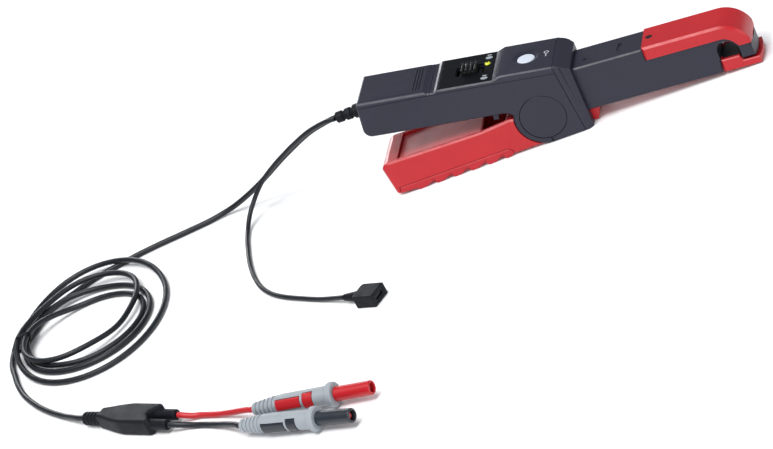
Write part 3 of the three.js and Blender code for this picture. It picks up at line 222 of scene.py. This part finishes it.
def add_piece(name, mesh, finish, body, slot, *nodes):
    """Links a mesh as a piece that rides on a body and stands for its CAD nodes."""
    piece = bpy.data.objects.new(name, mesh)
    bpy.context.scene.collection.objects.link(piece)
    mesh.materials.clear()
    mesh.materials.append(FINISHES[finish])
    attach(piece, body)
    if nodes:
        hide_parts(*nodes)
    return piece


def soften(piece, width_mm):
    """Rounds a piece's hard edges and evens its shading."""
    if width_mm:
        bevel = piece.modifiers.new("round_edges", "BEVEL")
        bevel.width = width_mm * MM
        bevel.segments = BEVEL_STEPS
        bevel.limit_method = "ANGLE"
        bevel.angle_limit = SOFT_ANGLE
        bevel.harden_normals = False
        bevel.use_clamp_overlap = True
    even = piece.modifiers.new("even_shading", "WEIGHTED_NORMAL")
    even.keep_sharp = True
    return piece


def refined(node, finish, body, slot, width_mm):
    """A CAD node's form as a cleaned mesh with rounded edges and smooth shading."""
    shape = bmesh.new()
    shape.from_mesh(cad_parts[node].data)
    bmesh.ops.remove_doubles(shape, verts=shape.verts, dist=SAME_POINT)
    bmesh.ops.dissolve_limit(
        shape, angle_limit=FLAT_ANGLE, verts=shape.verts, edges=shape.edges
    )
    for face in shape.faces:
        face.smooth = True
    mesh = bpy.data.meshes.new(node + "_form")
    shape.to_mesh(mesh)
    shape.free()
    mesh.set_sharp_from_angle(angle=BEVELLED_ANGLE if width_mm else SOFT_ANGLE)
    piece = add_piece(node + "_form", mesh, finish, body, slot, node)
    return soften(piece, width_mm)


# ------------------------------------------------------------------ cords

# Points, diameters and heights of the cords are in millimetres.
LEAD_DIAMETER = 3.4
POWER_DIAMETER = 2.8
LEAD_FLOOR = 1.8
POWER_FLOOR = 1.5

# The signal lead from the boot down to the floor and along it to the coil.
LEAD_RUN = [
    (-131.4, 1.7, 52.1),
    (-135.8, 2.9, 51.3),
    (-140.1, 4.3, 50.1),
    (-148.8, 7.4, 47.3),
    (-156.3, 10.1, 44.1),
    (-162.7, 12.8, 40.7),
    (-169.2, 15.4, 37.1),
    (-175.2, 17.8, 33.7),
    (-181, 19.9, 30.3),
    (-186.5, 21.8, 27),
    (-192.1, 23.8, 23.5),
    (-197.9, 26.2, 19.9),
    (-203.7, 28.6, 16.4),
    (-209.8, 31.2, 12.9),
    (-216.5, 33.7, 9.4),
    (-223.2, 35.7, 6.3),
    (-229.7, 36.8, 3.9),
    (-236.9, 36.4, 2.4),
    (-244.9, 34.4, LEAD_FLOOR),
    (-251.5, 32.7, LEAD_FLOOR),
    (-264.7, 30, LEAD_FLOOR),
    (-277.9, 27.5, LEAD_FLOOR),
    (-291, 24.2, LEAD_FLOOR),
    (-296.6, 22.2, LEAD_FLOOR),
]

# From the coil round its near side to the splitter.
LEAD_TAIL = [
    (-361.4, -36, LEAD_FLOOR),
    (-361.6, -44.5, LEAD_FLOOR),
    (-361.1, -53, LEAD_FLOOR),
    (-359.6, -61.4, LEAD_FLOOR),
    (-357.1, -69, LEAD_FLOOR),
    (-355.4, -73, LEAD_FLOOR),
    (-353.7, -77.5, LEAD_FLOOR),
    (-351.1, -84.3, LEAD_FLOOR),
    (-347.9, -91.4, LEAD_FLOOR),
    (-344.2, -98.7, LEAD_FLOOR),
    (-339.4, -106.7, LEAD_FLOOR),
    (-333.6, -114.8, LEAD_FLOOR),
    (-327.2, -122.9, LEAD_FLOOR),
    (-319.6, -131.2, LEAD_FLOOR),
    (-311.8, -138.7, 1.9),
    (-304.6, -145.3, 2.4),
    (-299.1, -150.4, 3.3),
    (-293.9, -155.2, 4.1),
    (-287.9, -159.4, 4.6),
]

# Each lead runs on inside the piece that it is moulded into.
LEAD_IN_SPLITTER = (-277.5, -165.4, 4.6)
RED_LEAD_IN_PLUG = (-158.2, -220.8, 7)
BLACK_LEAD_IN_PLUG = (-164.1, -235.2, 7)

# The power cord from the boot to its connector.
POWER_CORD = [
    (-131.3, -1.7, 52.9),
    (-135.6, -0.8, 52.7),
    (-139.8, 0.8, 52),
    (-148.6, 3.8, 49.4),
    (-156.5, 6.6, 46.1),
    (-163, 9.4, 42.6),
    (-169.3, 12.1, 39.2),
    (-175, 14.3, 35.8),
    (-180.7, 16.3, 32.5),
    (-186.1, 18, 29.2),
    (-191.2, 19.5, 25.9),
    (-195.9, 20.8, 22.6),
    (-200, 21.5, 19.4),
    (-203.5, 21.4, 16.3),
    (-206.4, 20.5, 13.5),
    (-208.9, 18.8, 10.9),
    (-211, 16.5, 8.6),
    (-212.6, 13.7, 6.5),
    (-213.7, 10.6, 4.6),
    (-214.3, 6.8, 3),
    (-214.3, 1.8, 1.9),
    (-213.6, -4.8, POWER_FLOOR),
    (-212.2, -12.4, POWER_FLOOR),
    (-210.5, -20.1, POWER_FLOOR),
    (-208.8, -27.9, POWER_FLOOR),
    (-206.8, -35.8, POWER_FLOOR),
    (-204.5, -43.8, POWER_FLOOR),
    (-201.7, -52.2, POWER_FLOOR),
    (-198.3, -60.8, POWER_FLOOR),
    (-194.6, -68.8, POWER_FLOOR),
    (-190, -76.5, POWER_FLOOR),
    (-183.6, -84.6, POWER_FLOOR),
    (-176.4, -91.3, POWER_FLOOR),
    (-168.9, -97, POWER_FLOOR),
    (-161.7, -102, POWER_FLOOR),
    (-154.7, -106.7, POWER_FLOOR),
    (-147.6, -111.4, 1.8),
    (-139.8, -116.7, 2.8),
    (-131.6, -122.1, 3.9),
]

# The two test leads from the splitter to their plugs.
RED_LEAD = [
    (-222.3, -192.1, 5.1),
    (-219.4, -193.4, 4.6),
    (-216.4, -194, 3.6),
    (-213.2, -194.4, 2.6),
    (-209.6, -194.8, 2),
    (-205.6, -196.5, LEAD_FLOOR),
    (-201.5, -198.5, LEAD_FLOOR),
    (-199.4, -199.5, LEAD_FLOOR),
    (-197.2, -200.6, 2),
    (-192.8, -203.2, 2.6),
    (-188.1, -206.3, 3.6),
    (-183.3, -209.4, 4.7),
    (-178.5, -212.6, 5.8),
    (-174.2, -215.4, 6.6),
    (-170.5, -217.5, 6.9),
]

BLACK_LEAD = [
    (-226.6, -199.7, 5.1),
    (-222.8, -200.9, 4.6),
    (-218.9, -201.5, 3.5),
    (-215.3, -202.3, 2.6),
    (-211.6, -203.6, 2),
    (-207.7, -205.1, LEAD_FLOOR),
    (-205.7, -206.1, LEAD_FLOOR),
    (-203.6, -207.2, LEAD_FLOOR),
    (-201.5, -208.4, LEAD_FLOOR),
    (-199.4, -209.7, 2),
    (-194.9, -212.9, 2.6),
    (-190.1, -216.7, 3.6),
    (-185.2, -221.1, 4.8),
    (-180.2, -226, 6.2),
    (-175.9, -230.2, 6.9),
]

# From the end of the run into the first turn.
COIL_ENTRY = [
    (-307, 18.4, LEAD_FLOOR),
    (-315.6, 14.6, LEAD_FLOOR),
    (-324, 9.8, LEAD_FLOOR),
    (-331.6, 3.9, LEAD_FLOOR),
    (-339.3, -1.8, LEAD_FLOOR),
    (-346.2, -7.9, LEAD_FLOOR),
    (-349.9, -15.8, LEAD_FLOOR),
]

# The coil's turns from the first to the last: an oval's middle, half axes and slant.
COIL_TURNS = [
    (-311.8, -47.2, 39.8, 46.2, 33.7),
    (-311.1, -49.9, 36.7, 35.2, -20.9),
    (-316.3, -38.9, 35.1, 44, -12.8),
    (-310.5, -41.3, 48.5, 64.9, 18.2),
]

# Angles round the coil in degrees. Each turn blends into the next over twice SWAP_HALF.
COIL_START = 150
COIL_END = 1605
COIL_STEP = 7.5
SWAP_HALF = 50

# How strands come to lie on each other. The reaches count points along the route.
STRAND_SPACING = LEAD_DIAMETER + 0.1
STACK_ROUNDS = 4
STACK_REACH = 16
EASE_REACHES = (4, 3, 3)

# Where the tie crosses the turns, and how far it lifts them off the floor there.
TIE_Y = -44.3
TIE_SPAN = 16
TIE_INNER_X = -340
TIE_LIFT = 0.5


def oval_point(turn, angle):
    """Where a ray at an angle from the middle of a turn's oval meets it."""
    x, y, a, b, slant = turn
    local = math.radians(angle - slant)
    radius = a * b / math.hypot(b * math.cos(local), a * math.sin(local))
    heading = math.radians(angle)
    return Vector((x + radius * math.cos(heading), y + radius * math.sin(heading), 0))


def coil_route():
    """The turns in plan, each blending into the next where they are tied together."""
    route = []
    angle = COIL_START
    while angle <= COIL_END:
        lap = (angle - 180) / 360
        nearest = round(lap)
        before = min(max(nearest - 1, 0), len(COIL_TURNS) - 1)
        after = min(max(nearest, 0), len(COIL_TURNS) - 1)
        away = (lap - nearest) * 360
        share = min(max((away + SWAP_HALF) / (2 * SWAP_HALF), 0), 1)
        share = share * share * (3 - 2 * share)
        first = oval_point(COIL_TURNS[before], angle)
        second = oval_point(COIL_TURNS[after], angle)
        route.append(first.lerp(second, share))
        angle += COIL_STEP
    return route


def resting(route, lifts, spacing, reach):
    """How far each point rises to lie on what was laid before it, given how far that rose."""
    found = []
    for index, spot in enumerate(route):
        height = spot.z
        for earlier in range(index - reach):
            below = route[earlier]
            apart = math.hypot(spot.x - below.x, spot.y - below.y)
            if apart < spacing:
                rise = math.sqrt(spacing ** 2 - apart ** 2)
                height = max(height, below.z + lifts[earlier] + rise)
        found.append(height - spot.z)
    return found


def around(values, index, reach):
    """The values up to reach places before and after an index."""
    return values[max(0, index - reach):index + reach + 1]


def averaged(values, reach):
    """Each value as the average of those around it."""
    rows = [around(values, index, reach) for index in range(len(values))]
    return [sum(row) / len(row) for row in rows]


def eased(values):
    """Long smooth humps that stay at least as high as every value."""
    reach = sum(EASE_REACHES)
    found = [max(around(values, index, reach)) for index in range(len(values))]
    for span in EASE_REACHES:
        found = averaged(found, span)
    return found


def dense(points, parts):
    """Points along the smooth curve through a list of points."""
    path = [Vector(p) for p in points]
    ends = [2 * path[0] - path[1], *path, 2 * path[-1] - path[-2]]
    found = []
    for before, start, end, after in zip(ends, ends[1:], ends[2:], ends[3:]):
        for part in range(parts):
            t = part / parts
            found.append(0.5 * (
                2 * start
                + (end - before) * t
                + (2 * before - 5 * start + 4 * end - after) * t ** 2
                + (3 * start - before - 3 * end + after) * t ** 3
            ))
    return [*found, path[-1]]


def over_tie(spot):
    """Lifts a point of the coil off the floor where the tie passes under it."""
    x, y, z = spot
    near = max(0, 1 - abs(y - TIE_Y) / TIE_SPAN) if x < TIE_INNER_X else 0
    return Vector((x, y, z + TIE_LIFT * near))


def signal_route():
    """The whole signal lead: down from the boot, round the coil and on to the splitter."""
    coil = [Vector((p.x, p.y, LEAD_FLOOR)) for p in coil_route()]
    knots = [*LEAD_RUN, *COIL_ENTRY, *coil, *LEAD_TAIL, LEAD_IN_SPLITTER]
    route = dense([over_tie(p) for p in knots], 2)
    lifts = [0] * len(route)
    for _ in range(STACK_ROUNDS):
        lifts = eased(resting(route, lifts, STRAND_SPACING, STACK_REACH))
    return [Vector((p.x, p.y, p.z + lift)) for p, lift in zip(route, lifts)]


def add_cord(name, route, diameter, finish, nodes):
    """A free cord along a route in millimetres."""
    data = bpy.data.curves.new(name, "CURVE")
    data.dimensions = "3D"
    data.bevel_depth = diameter / 2 * MM
    data.bevel_resolution = 5
    data.use_fill_caps = True
    spline = data.splines.new("POLY")
    spline.points.add(len(route) - 1)
    for knot, spot in zip(spline.points, route):
        knot.co = (*(Vector(spot) * MM), 1)
    spline.use_smooth = True
    cord = bpy.data.objects.new(name, data)
    bpy.context.scene.collection.objects.link(cord)
    data.materials.append(FINISHES[finish])
    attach(cord, "housing")
    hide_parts(*nodes)


# ------------------------------------------------------------------ pieces from the CAD forms

REFINED = [
    ("lower_shell", "charcoal_plastic", "housing", "housing_plastic", 0.35),
    ("top_panel", "charcoal_plastic", "housing", "housing_plastic", 0.3),
    ("battery_cover", "charcoal_plastic", "battery_cover", "housing_plastic", 0.3),
    ("front_bezel", "charcoal_plastic", "housing", "housing_plastic", 0.35),
    ("pivot_cover_left", "charcoal_plastic", "housing", "housing_plastic", 0.25),
    ("pivot_cover_right", "charcoal_plastic", "housing", "housing_plastic", 0.25),
    ("label_plate", "panel_film", "housing", "label_film", 0.08),
    ("jaw_beam", "charcoal_plastic", "housing", "housing_plastic", 0.3),
    ("nose_cap", "red_plastic", "housing", "red_plastic", 0.3),
    ("lever", "red_plastic", "lever", "red_plastic", 0.4),
    # The tray's finish has a painted reflection in its colour.
    ("lever_tray", "tray_plastic", "lever", "tray_plastic", 0.3),
    ("finger_sole", "red_rubber", "lever", "red_rubber", 0.4),
    ("switch_knob", "black_plastic", "switch_knob", "black_plastic", 0.2),
    ("zero_button", "white_rubber", "zero_button", "button_plastic", 0.2),
    ("status_led", "lens_yellow", "housing", "led_lens", 0),
    ("range_window_left", "lens_grey", "housing", "grey_lens", 0),
    ("range_window_right", "lens_grey", "housing", "grey_lens", 0),
    ("cap_screw", "black_plastic", "housing", "steel", 0.05),
    ("housing_screw_left", "steel", "housing", "steel", 0.05),
    ("housing_screw_right", "steel", "housing", "steel", 0.05),
    ("pivot_pin", "steel", "housing", "steel", 0.2),
    ("pivot_spring", "steel", "housing", "steel", 0),
    ("lower_core", "core_steel", "lever", "core_steel", 0.1),
    ("upper_core", "core_steel", "housing", "core_steel", 0.1),
    ("sensor_coil", "copper", "housing", "copper", 0.3),
    ("hall_sensor", "black_plastic", "housing", "black_plastic", 0.1),
    ("circuit_board", "board", "housing", "board", 0.05),
    ("switch_body", "black_plastic", "housing", "steel", 0.2),
    ("zero_switch", "black_plastic", "housing", "black_plastic", 0.05),
    ("battery", "battery_case", "housing", "battery_case", 0.3),
    ("battery_snap", "black_plastic", "housing", "black_plastic", 0.2),
    ("strain_relief", "moulding_rubber", "housing", "cord_jacket", 0.2),
    ("splitter", "moulding_rubber", "housing", "cord_jacket", 0.25),
    ("power_connector", "moulding_rubber", "housing", "cord_jacket", 0.3),
    ("power_socket", "core_steel", "housing", "steel", 0.05),
    ("red_plug_handle", "grey_rubber", "housing", "handle_grey", 0.25),
    ("red_plug_inlay_long", "red_plastic", "housing", "red_plastic", 0.25),
    ("red_plug_inlay_short", "red_plastic", "housing", "red_plastic", 0.25),
    ("red_plug_shroud", "red_plastic", "housing", "red_plastic", 0.2),
    ("red_plug_pin", "steel", "housing", "steel", 0),
    ("black_plug_handle", "grey_rubber", "housing", "handle_grey", 0.25),
    ("black_plug_inlay_long", "plug_black", "housing", "black_plastic", 0.25),
    ("black_plug_inlay_short", "plug_black", "housing", "black_plastic", 0.25),
    ("black_plug_shroud", "plug_black", "housing", "black_plastic", 0.2),
    ("black_plug_pin", "steel", "housing", "steel", 0),
]

for node, finish, body, slot, width in REFINED:
    refined(node, finish, body, slot, width)

# ------------------------------------------------------------------ pieces modelled here

# The handle frame: its origin on the pivot, nose-down by the pitch.
PIVOT = Vector((-14.03, 0, 17.1)) * MM
PITCH = math.radians(10.7)
HANDLE_FRAME = Matrix.Translation(PIVOT) @ Matrix.Rotation(PITCH, 4, "Y")
PANEL_Z = 28.3
HEAD_Z = 30.3


def mesh_from(name, points, faces):
    mesh = bpy.data.meshes.new(name)
    mesh.from_pydata([Vector(p) * MM for p in points], [], faces)
    mesh.update()
    return mesh


def plate_mesh(name, outline, bottom, top):
    """A flat plate between two heights in the handle frame, from its outline in plan."""
    count = len(outline)
    points = [(x, y, bottom) for x, y in outline] + [(x, y, top) for x, y in outline]
    sides = [(i, (i + 1) % count, count + (i + 1) % count, count + i) for i in range(count)]
    faces = [tuple(reversed(range(count))), tuple(range(count, 2 * count)), *sides]
    mesh = mesh_from(name, points, faces)
    mesh.transform(HANDLE_FRAME)
    return mesh


def ring_mesh(name, x, y, inner, outer, bottom, top, sides=40):
    """A flat ring between two heights in the handle frame."""
    points = []
    for radius, height in ((inner, bottom), (outer, bottom), (outer, top), (inner, top)):
        for side in range(sides):
            turn = 2 * math.pi * side / sides
            points.append((x + radius * math.cos(turn), y + radius * math.sin(turn), height))
    faces = []
    for layer in range(4):
        start, after = layer * sides, (layer + 1) % 4 * sides
        for side in range(sides):
            along = (side + 1) % sides
            faces.append((start + side, start + along, after + along, after + side))
    mesh = mesh_from(name, points, faces)
    mesh.transform(HANDLE_FRAME)
    return mesh


def bar(x, y, length, width):
    """The corners of a bar in plan, its length along X."""
    half, side = length / 2, width / 2
    return [(x - half, y - side), (x + half, y - side), (x + half, y + side), (x - half, y + side)]


def add_mark(name, mesh):
    return add_piece(name, mesh, "ink", "housing", "grey_lens")


# Marks: places in the handle frame, and each bar's length and width. Ink starts a little
# under its surface and stands a little above it.
INK_DEPTH = 0.05
INK_LIFT = 0.03
TICK_XS = (-40.8, -37.5, -34.2)
TICK_Y = 7.2
TICK_SIZE = (0.7, 1.9)
WINDOW_DASHES = {"left": (-27.4, 14.4), "right": (-28, -9.6)}
DASH_SIZE = (2.4, 0.8)
ZERO_RING_PLACE = (7.6, 1.8)
ZERO_RING_RADII = (1.0, 1.5)
ZERO_BAR_PLACE = (7.6, -1.6)
ZERO_BAR_SIZE = (0.6, 2.8)
LED_PLACE = (-27.6, 4.4)
LED_CENTRE_RADII = (0.02, 0.6)
LED_CENTRE_DEPTH = 0.1

PANEL_INK = (PANEL_Z - INK_DEPTH, PANEL_Z + INK_LIFT)
HEAD_INK = (HEAD_Z - INK_DEPTH, HEAD_Z + INK_LIFT)
for number, x in enumerate(TICK_XS, start=1):
    add_mark(f"switch_tick_{number}", plate_mesh("tick", bar(x, TICK_Y, *TICK_SIZE), *PANEL_INK))
for side, place in WINDOW_DASHES.items():
    add_mark(f"window_dash_{side}", plate_mesh("dash", bar(*place, *DASH_SIZE), *PANEL_INK))
add_mark("zero_mark", ring_mesh("ring", *ZERO_RING_PLACE, *ZERO_RING_RADII, *HEAD_INK))
add_mark("zero_mark_bar", plate_mesh("bar", bar(*ZERO_BAR_PLACE, *ZERO_BAR_SIZE), *HEAD_INK))


def led_top():
    """The height of the lamp's lens above the pivot, in the handle frame."""
    back = HANDLE_FRAME.inverted()
    return max((back @ corner.co).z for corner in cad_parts["status_led"].data.vertices) / MM


LENS_TOP = led_top()
LENS_INK = (LENS_TOP - LED_CENTRE_DEPTH, LENS_TOP + INK_LIFT)
add_piece(
    "status_led_centre",
    ring_mesh("centre", *LED_PLACE, *LED_CENTRE_RADII, *LENS_INK),
    "panel_film",
    "housing",
    "label_film",
)


def lathe_mesh(name, profile, place, heading, sides=48):
    """A turned form along a level axis: (distance, radius) pairs from a place."""
    points = []
    for along, radius in profile:
        for side in range(sides):
            turn = 2 * math.pi * side / sides
            points.append((along, radius * math.cos(turn), radius * math.sin(turn)))
    faces = []
    for row in range(len(profile) - 1):
        for side in range(sides):
            after = (side + 1) % sides
            low, high = row * sides, (row + 1) * sides
            faces.append((low + side, high + side, high + after, low + after))
    faces.append(tuple(range(sides)))
    faces.append(tuple(reversed(range((len(profile) - 1) * sides, len(profile) * sides))))
    mesh = mesh_from(name, points, faces)
    turn = Matrix.Rotation(math.radians(heading), 4, "Z")
    mesh.transform(Matrix.Translation(placed(*place)) @ turn)
    mesh.shade_smooth()
    mesh.set_sharp_from_angle(angle=TURNED_ANGLE)
    return mesh


# Each plug's rear end and its heading in degrees, and the rim drawn round its mouth.
PLUG_LIES = {"red": ((-169.8, -217.8, 7), -14.6), "black": ((-175.2, -230.7, 7), -21.9)}
TIP_PROFILE = [(70.4, 2.15), (73.2, 2.15), (73.7, 1.9), (73.9, 1.5), (73.7, 0.8), (73.2, 0.7)]
TIPS = {
    colour: add_piece(
        f"{colour}_plug_tip",
        lathe_mesh("tip", TIP_PROFILE, place, heading),
        "red_plastic",
        "housing",
        "red_plastic",
    )
    for colour, (place, heading) in PLUG_LIES.items()
}


TIE_SLACK = 0.1
TIE_LOWEST = 0.6
TIE_HALF_WIDTH = 1.7
TIE_THICKNESS = 0.5
TIE_SIDES = 24


def add_tie(route):
    """A band drawn snug round the turns where they run together at the left of the coil."""
    rim = []
    for start, end in zip(route, route[1:]):
        if (start.y - TIE_Y) * (end.y - TIE_Y) < 0 and start.x < TIE_INNER_X:
            middle = (start + end) / 2
            for step in range(TIE_SIDES):
                turn = 2 * math.pi * step / TIE_SIDES
                away = LEAD_DIAMETER / 2 + TIE_SLACK
                rim.append((middle.x + away * math.cos(turn), middle.z + away * math.sin(turn)))
    order = convex_hull_2d([Vector(spot) for spot in rim])
    loop = [(rim[i][0], max(rim[i][1], TIE_LOWEST)) for i in order]
    count = len(loop)
    near, far = TIE_Y - TIE_HALF_WIDTH, TIE_Y + TIE_HALF_WIDTH
    points = [(x, near, z) for x, z in loop] + [(x, far, z) for x, z in loop]
    faces = [(i, (i + 1) % count, count + (i + 1) % count, count + i) for i in range(count)]
    mesh = mesh_from("tie", points, faces)
    mesh.shade_smooth()
    tie = add_piece("coil_tie_band", mesh, "tie_rubber", "housing", "black_plastic", "coil_tie")
    thicken = tie.modifiers.new("thickness", "SOLIDIFY")
    thicken.thickness = TIE_THICKNESS * MM
    thicken.offset = 1
    return soften(tie, 0.15)


# ------------------------------------------------------------------ cords on the probe

SIGNAL_ROUTE = signal_route()
TIE = add_tie(SIGNAL_ROUTE)

add_cord(
    "signal_lead",
    SIGNAL_ROUTE,
    LEAD_DIAMETER,
    "cord_jacket",
    ("lead_run", "lead_coil", "lead_tail"),
)
add_cord(
    "power_cord_jacket",
    dense(POWER_CORD, 3),
    POWER_DIAMETER,
    "cord_jacket",
    ("power_cord",),
)
add_cord(
    "red_test_lead",
    dense([*RED_LEAD, RED_LEAD_IN_PLUG], 4),
    LEAD_DIAMETER,
    "red_jacket",
    ("red_lead",),
)
add_cord(
    "black_test_lead",
    dense([*BLACK_LEAD, BLACK_LEAD_IN_PLUG], 4),
    LEAD_DIAMETER,
    "cord_jacket",
    ("black_lead",),
)

# ------------------------------------------------------------------ floor and lights


# The floor's half side and the point that every light faces, in metres.
FLOOR_HALF = 6
LIGHT_AIM = (-0.1, -0.05, 0.02)
WORLD_STRENGTH = 0.3

# Each light: its name, place and size in metres, power in watts and colour.
LIGHTS = [
    ("overhead", (-0.35, -0.6, 1.9), 1.6, 41, (1.0, 1.0, 1.0)),
    ("edge_key", (-0.4, -1.0, 1.8), 0.32, 8, (1.0, 1.0, 1.0)),
    ("front_fill", (0.3, -2.0, 0.5), 1.4, 14, (0.96, 0.98, 1.0)),
    ("side_fill", (1.5, -0.9, 0.55), 0.8, 7, (0.97, 0.98, 1.0)),
    ("edge_strip", (-0.95, 1.45, 0.42), 0.5, 7, (0.97, 0.98, 1.0)),
]


def add_floor():
    mesh = bpy.data.meshes.new("floor")
    low, high = -FLOOR_HALF, FLOOR_HALF
    corners = [(low, low, 0), (high, low, 0), (high, high, 0), (low, high, 0)]
    mesh.from_pydata(corners, [], [(0, 1, 2, 3)])
    floor = bpy.data.objects.new("floor", mesh)
    bpy.context.scene.collection.objects.link(floor)
    surface("floor_paint", (247, 247, 248), 0.7, grain=40, relief=0.01, mottle=0.005)
    mesh.materials.append(FINISHES["floor_paint"])


def add_area_light(name, place, size, power_watts, colour):
    data = bpy.data.lights.new(name, "AREA")
    data.shape = "SQUARE"
    data.size = size
    data.energy = power_watts
    data.color = colour
    lamp = bpy.data.objects.new(name, data)
    lamp.location = place
    lamp.rotation_mode = "QUATERNION"
    lamp.rotation_quaternion = (Vector(LIGHT_AIM) - Vector(place)).to_track_quat("-Z", "Y")
    bpy.context.scene.collection.objects.link(lamp)


def add_studio():
    world = bpy.data.worlds.new("studio")
    world.use_nodes = True
    background = world.node_tree.nodes["Background"]
    background.inputs["Color"].default_value = (0.93, 0.96, 1.0, 1.0)
    background.inputs["Strength"].default_value = WORLD_STRENGTH
    bpy.context.scene.world = world
    for light in LIGHTS:
        add_area_light(*light)
    bpy.context.scene.view_settings.view_transform = "Standard"


add_floor()
add_studio()
